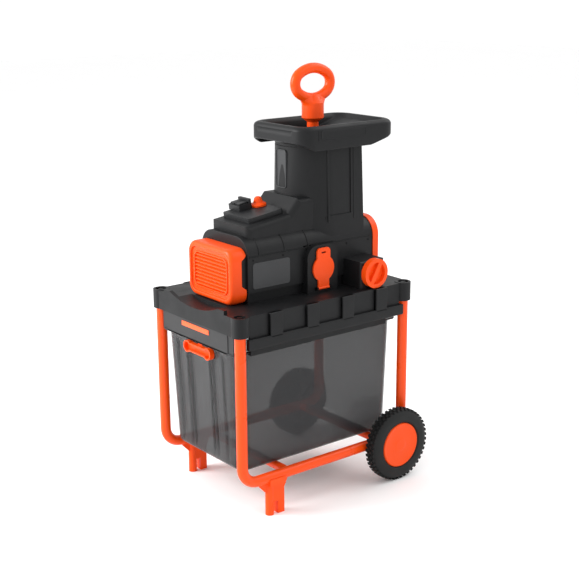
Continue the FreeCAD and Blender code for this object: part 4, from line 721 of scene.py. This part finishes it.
def hopper_bars():
    """Upright frame bars on both hopper sides, before and behind the sunk panel."""
    column = Span("hopper")
    mesh = bmesh.new()
    for side in (-1, 1):
        for from_back in (111 * MM, 33 * MM):
            start = column.y1 - from_back
            rings = []
            for z in (column.z1 - 175 * MM, column.z1 - 6 * MM):
                drawn_in = HOPPER_TAPER * (z - column.z0) / (column.z1 - column.z0)
                root = column.x1 - drawn_in - 3 * MM
                face = column.x1 - drawn_in + 0.9 * MM
                section = ((root, start), (face, start + 1 * MM),
                           (face, start + 5 * MM), (root, start + 6 * MM))
                rings.append(level([(side * x, y) for x, y in section], z))
            loft(mesh, rings)
    piece("hopper_side_bars", mesh, "stand", "black_plastic", edge=0.4 * MM)


def label_plate(name, node, facing, inset=0.0):
    """Blank label with round corners and a thin border, which faces along x or against y."""
    span = Span(node)
    if facing == "x":
        left, right, back, face, place = span.y0, span.y1, span.x0, span.x1, sideways
    else:
        left, right, back, face, place = span.x0, span.x1, span.y1, span.y0, standing
    rings = []
    for share, margin, radius in ((0, 0, 7), (0.8, 0, 7), (1.0, 0.6, 6.4), (1.0, 2.0, 5), (0.7, 2.6, 4.4)):
        edge = margin * MM
        outline = round_rect(left + inset + edge, right - inset - edge, span.z0 + edge, span.z1 - edge,
                             radius * MM)
        rings.append(place(outline, back + (face - back) * share))
    mesh = bmesh.new()
    loft(mesh, rings)
    piece(name, mesh, "stand", "label_film", node, edge=0.2 * MM)


# ---------------------------------------------------------------- plunger

def plunger_saddle():
    """Web that blends the plunger's neck into its oval ring."""
    span = Span("plunger")
    centre = span.middle
    count = 48
    angles = [2 * math.pi * i / count for i in range(count)]
    rings = []
    # how far below the plunger's top each oval lies, and its half sizes across and along
    for drop, half_x, half_y in ((98, 25.9, 25.9), (94, 25.6, 26.6), (90, 23.5, 29.5), (86, 19.5, 33.5),
                                 (81, 15.5, 36.5), (76, 12.6, 38.0), (72, 10.5, 37.0)):
        oval = [(centre.x + half_x * MM * math.cos(angle), centre.y + half_y * MM * math.sin(angle))
                for angle in angles]
        rings.append(level(oval, span.z1 - drop * MM))
    mesh = bmesh.new()
    loft(mesh, rings)
    piece("plunger_saddle", mesh, "feed_plunger", "orange_plastic", edge=0.3 * MM)


# ---------------------------------------------------------------- collection box

BoxOutline = namedtuple("BoxOutline", "half front back")


def box_ring(base, rim, share, z, inset=0.0, relief=0.0):
    """Ring of the box between its base and rim outlines; relief is how much of the wall's shape shows."""
    half, front, back = (low + (high - low) * share for low, high in zip(base, rim))
    half -= inset
    front += inset
    points = round_rect(-half, half, front, back - inset, 30 * MM - min(inset, 25 * MM), 8, 72)
    ring = []
    for x, y in points:
        groove = relief * groove_depth(x) if y < front + 2 * MM else 0.0
        ridge = relief * side_ridge(y) if abs(x) > half - 0.1 * MM else 0.0
        ring.append(Vector((x + math.copysign(ridge, x), y + groove, z)))
    return ring


def side_ridge(y):
    """How far the side wall stands out at a place along it: narrow ridges, evenly spaced."""
    pitch = 52 * MM
    away = abs((y / pitch) % 1 - 0.5) * pitch
    return 0.9 * MM * max(0.0, 1 - away / (4 * MM))


def groove_depth(x):
    """How far the front wall is sunk at a place across: upright channels on both sides of the middle."""
    for centre, half in ((90, 6), (38, 4.5), (52, 4.5)):
        away = abs(abs(x) / MM - centre) / half
        if away < 1:
            return 5 * MM * min(1.0, 2.5 * (1 - away))
    return 0.0


def collection_box():
    """Smoke-tinted box: tapered walls, channels in front, faint side ridges, rolled base edge and rim."""
    span = Span("collection_box")
    base = BoxOutline(135 * MM, span.y0 + 20 * MM, span.y1 - 15 * MM)
    rim = BoxOutline(139 * MM, span.y0 + 6 * MM, span.y1 - 4 * MM)
    bottom = span.z0
    rim_top = Span("box_runner_right").z0 + 8 * MM
    height = rim_top - bottom
    wall = 2.5 * MM
    # share of the height, how far the ring is drawn in and how much of the wall's relief it shows
    sections = [(0.0, 14, 0.0), (0.012, 6, 0.0), (0.032, 1.5, 0.0), (0.055, 0, 0.0),
                (0.10, 0, 0.5), (0.16, 0, 1.0), (0.50, 0, 1.0), (0.80, 0, 1.0),
                (0.90, 0, 1.0), (0.935, 0, 0.6), (0.955, 0, 0.0), (0.985, 0, 0.0)]
    outside = [box_ring(base, rim, share, bottom + height * share, inset * MM, relief)
               for share, inset, relief in sections]
    inside = [box_ring(base, rim, share, bottom + max(height * share, wall), inset * MM + wall, relief)
              for share, inset, relief in reversed(sections)]
    top = [box_ring(base, rim, 1.0, rim_top), box_ring(base, rim, 1.0, rim_top, wall)]
    mesh = bmesh.new()
    loft(mesh, [*outside, *top, *inside])
    piece("smoked_box", mesh, "box", "box_plastic", "collection_box", edge=0.3 * MM)
    box_rim(span, rim, rim_top, wall)


def box_rim(span, rim, top, wall):
    """The rim that rides on the runners, and the panel that closes the gap under the deck."""
    outer = round_rect(span.x0, span.x1, span.y0, span.y1, 12 * MM)
    inner = round_rect(wall - rim.half, rim.half - wall, rim.front + wall, rim.back - wall, 12 * MM)
    under = top - 4 * MM
    mesh = bmesh.new()
    loft(mesh, [level(ring, z) for ring, z in ((inner, top), (outer, top), (outer, under), (inner, under),
                                               (inner, top))], False, False)
    front = span.y0
    back = front + 3.2 * MM
    wing_half = Span("side_frame_right").x0 - 4 * MM
    for half, set_back in ((122 * MM, 0), (wing_half, 1.5 * MM)):
        rings = []
        for y, inset in ((back, 0), (front + set_back + 0.8 * MM, 0), (front + set_back, 0.8 * MM)):
            points = round_rect(-half + inset, half - inset, under + inset, span.z1 - inset, 4 * MM)
            rings.append(standing(points, y))
        loft(mesh, rings)
    piece("box_front_rim", mesh, "box", "box_plastic", look=thick_smoked_plastic(), edge=0.3 * MM)


# ---------------------------------------------------------------- studio

def camera_axes():
    """Unit vectors of the view: backwards, right and up."""
    back = Vector((math.sin(VIEW_AZIMUTH) * math.cos(VIEW_ELEVATION),
                   -math.cos(VIEW_AZIMUTH) * math.cos(VIEW_ELEVATION),
                   math.sin(VIEW_ELEVATION)))
    right = Vector((math.cos(VIEW_AZIMUTH), math.sin(VIEW_AZIMUTH), 0))
    return back, right, back.cross(right)


def add_camera():
    back, right, up = camera_axes()
    data = bpy.data.cameras.new("camera")
    data.lens = LENS
    data.clip_start = 0.05
    data.clip_end = 60
    camera = bpy.data.objects.new("camera", data)
    aim = (CAD_LOW + CAD_HIGH) / 2 + AIM_RIGHT * right + AIM_UP * up
    turn = Matrix((right, up, back)).transposed() @ Matrix.Rotation(VIEW_ROLL, 3, "Z")
    camera.matrix_world = Matrix.Translation(aim + VIEW_DISTANCE * back) @ turn.to_4x4()
    bpy.context.scene.collection.objects.link(camera)
    bpy.context.scene.camera = camera


def add_softbox(name, direction, distance, size, power):
    """A square studio light that looks at the middle of the machine."""
    data = bpy.data.lights.new(name, "AREA")
    data.shape = "SQUARE"
    data.size = size
    data.energy = power
    lamp = bpy.data.objects.new(name, data)
    towards = Vector(direction).normalized()
    lamp.location = Vector((0, 0, HEIGHT / 2)) + towards * distance
    lamp.rotation_euler = towards.to_track_quat("Z", "Y").to_euler()
    bpy.context.scene.collection.objects.link(lamp)


def add_floor():
    """A wide pale sheet of card that the machine stands on."""
    sheet = bmesh.new()
    reach = 14 * HEIGHT
    corners = ((-reach, -reach), (reach, -reach), (reach, reach), (-reach, reach))
    sheet.faces.new([sheet.verts.new((x, y, 0)) for x, y in corners])
    mesh = bpy.data.meshes.new("floor")
    sheet.to_mesh(mesh)
    floor = bpy.data.objects.new("floor", mesh)
    bpy.context.scene.collection.objects.link(floor)
    look = Look("pale_card")
    card = look.blend(look.noise(3.0), (0.97, 0.97, 0.97), (0.985, 0.985, 0.985))
    look.feed(look.shader, "Base Color", card)
    look.shader.inputs["Roughness"].default_value = 0.85
    mesh.materials.append(look.material)


def add_sky():
    """Even white light from all round."""
    world = bpy.data.worlds.new("studio")
    world.use_nodes = True
    background = world.node_tree.nodes["Background"]
    background.inputs["Color"].default_value = (1, 1, 1, 1)
    background.inputs["Strength"].default_value = 1.02
    bpy.context.scene.world = world


def add_studio():
    add_sky()
    add_floor()
    add_softbox("front_light", (-0.55, -1.0, 0.55), distance=3.2, size=1.8, power=120)
    add_softbox("side_light", (1.0, 0.5, 1.2), distance=3.4, size=2.0, power=12)
    add_softbox("back_light", (0.2, 1.0, 1.0), distance=3.4, size=2.0, power=30)
    bpy.context.scene.view_settings.view_transform = "Standard"


paint_nodes()
for side, name in ((1, "right"), (-1, "left")):
    wheel(side, name)
    wheel_cover(side, name)
motor_cover()
housing_front()
shoulder_ribs()
seam_ledge()
deck_sides()
hopper_bars()
funnel()
funnel_plate()
label_plate("side_blank_label", "side_label", "x")
label_plate("hopper_blank_label", "hopper_label", "y", 4 * MM)
plunger_saddle()
collection_box()
add_camera()
add_studio()
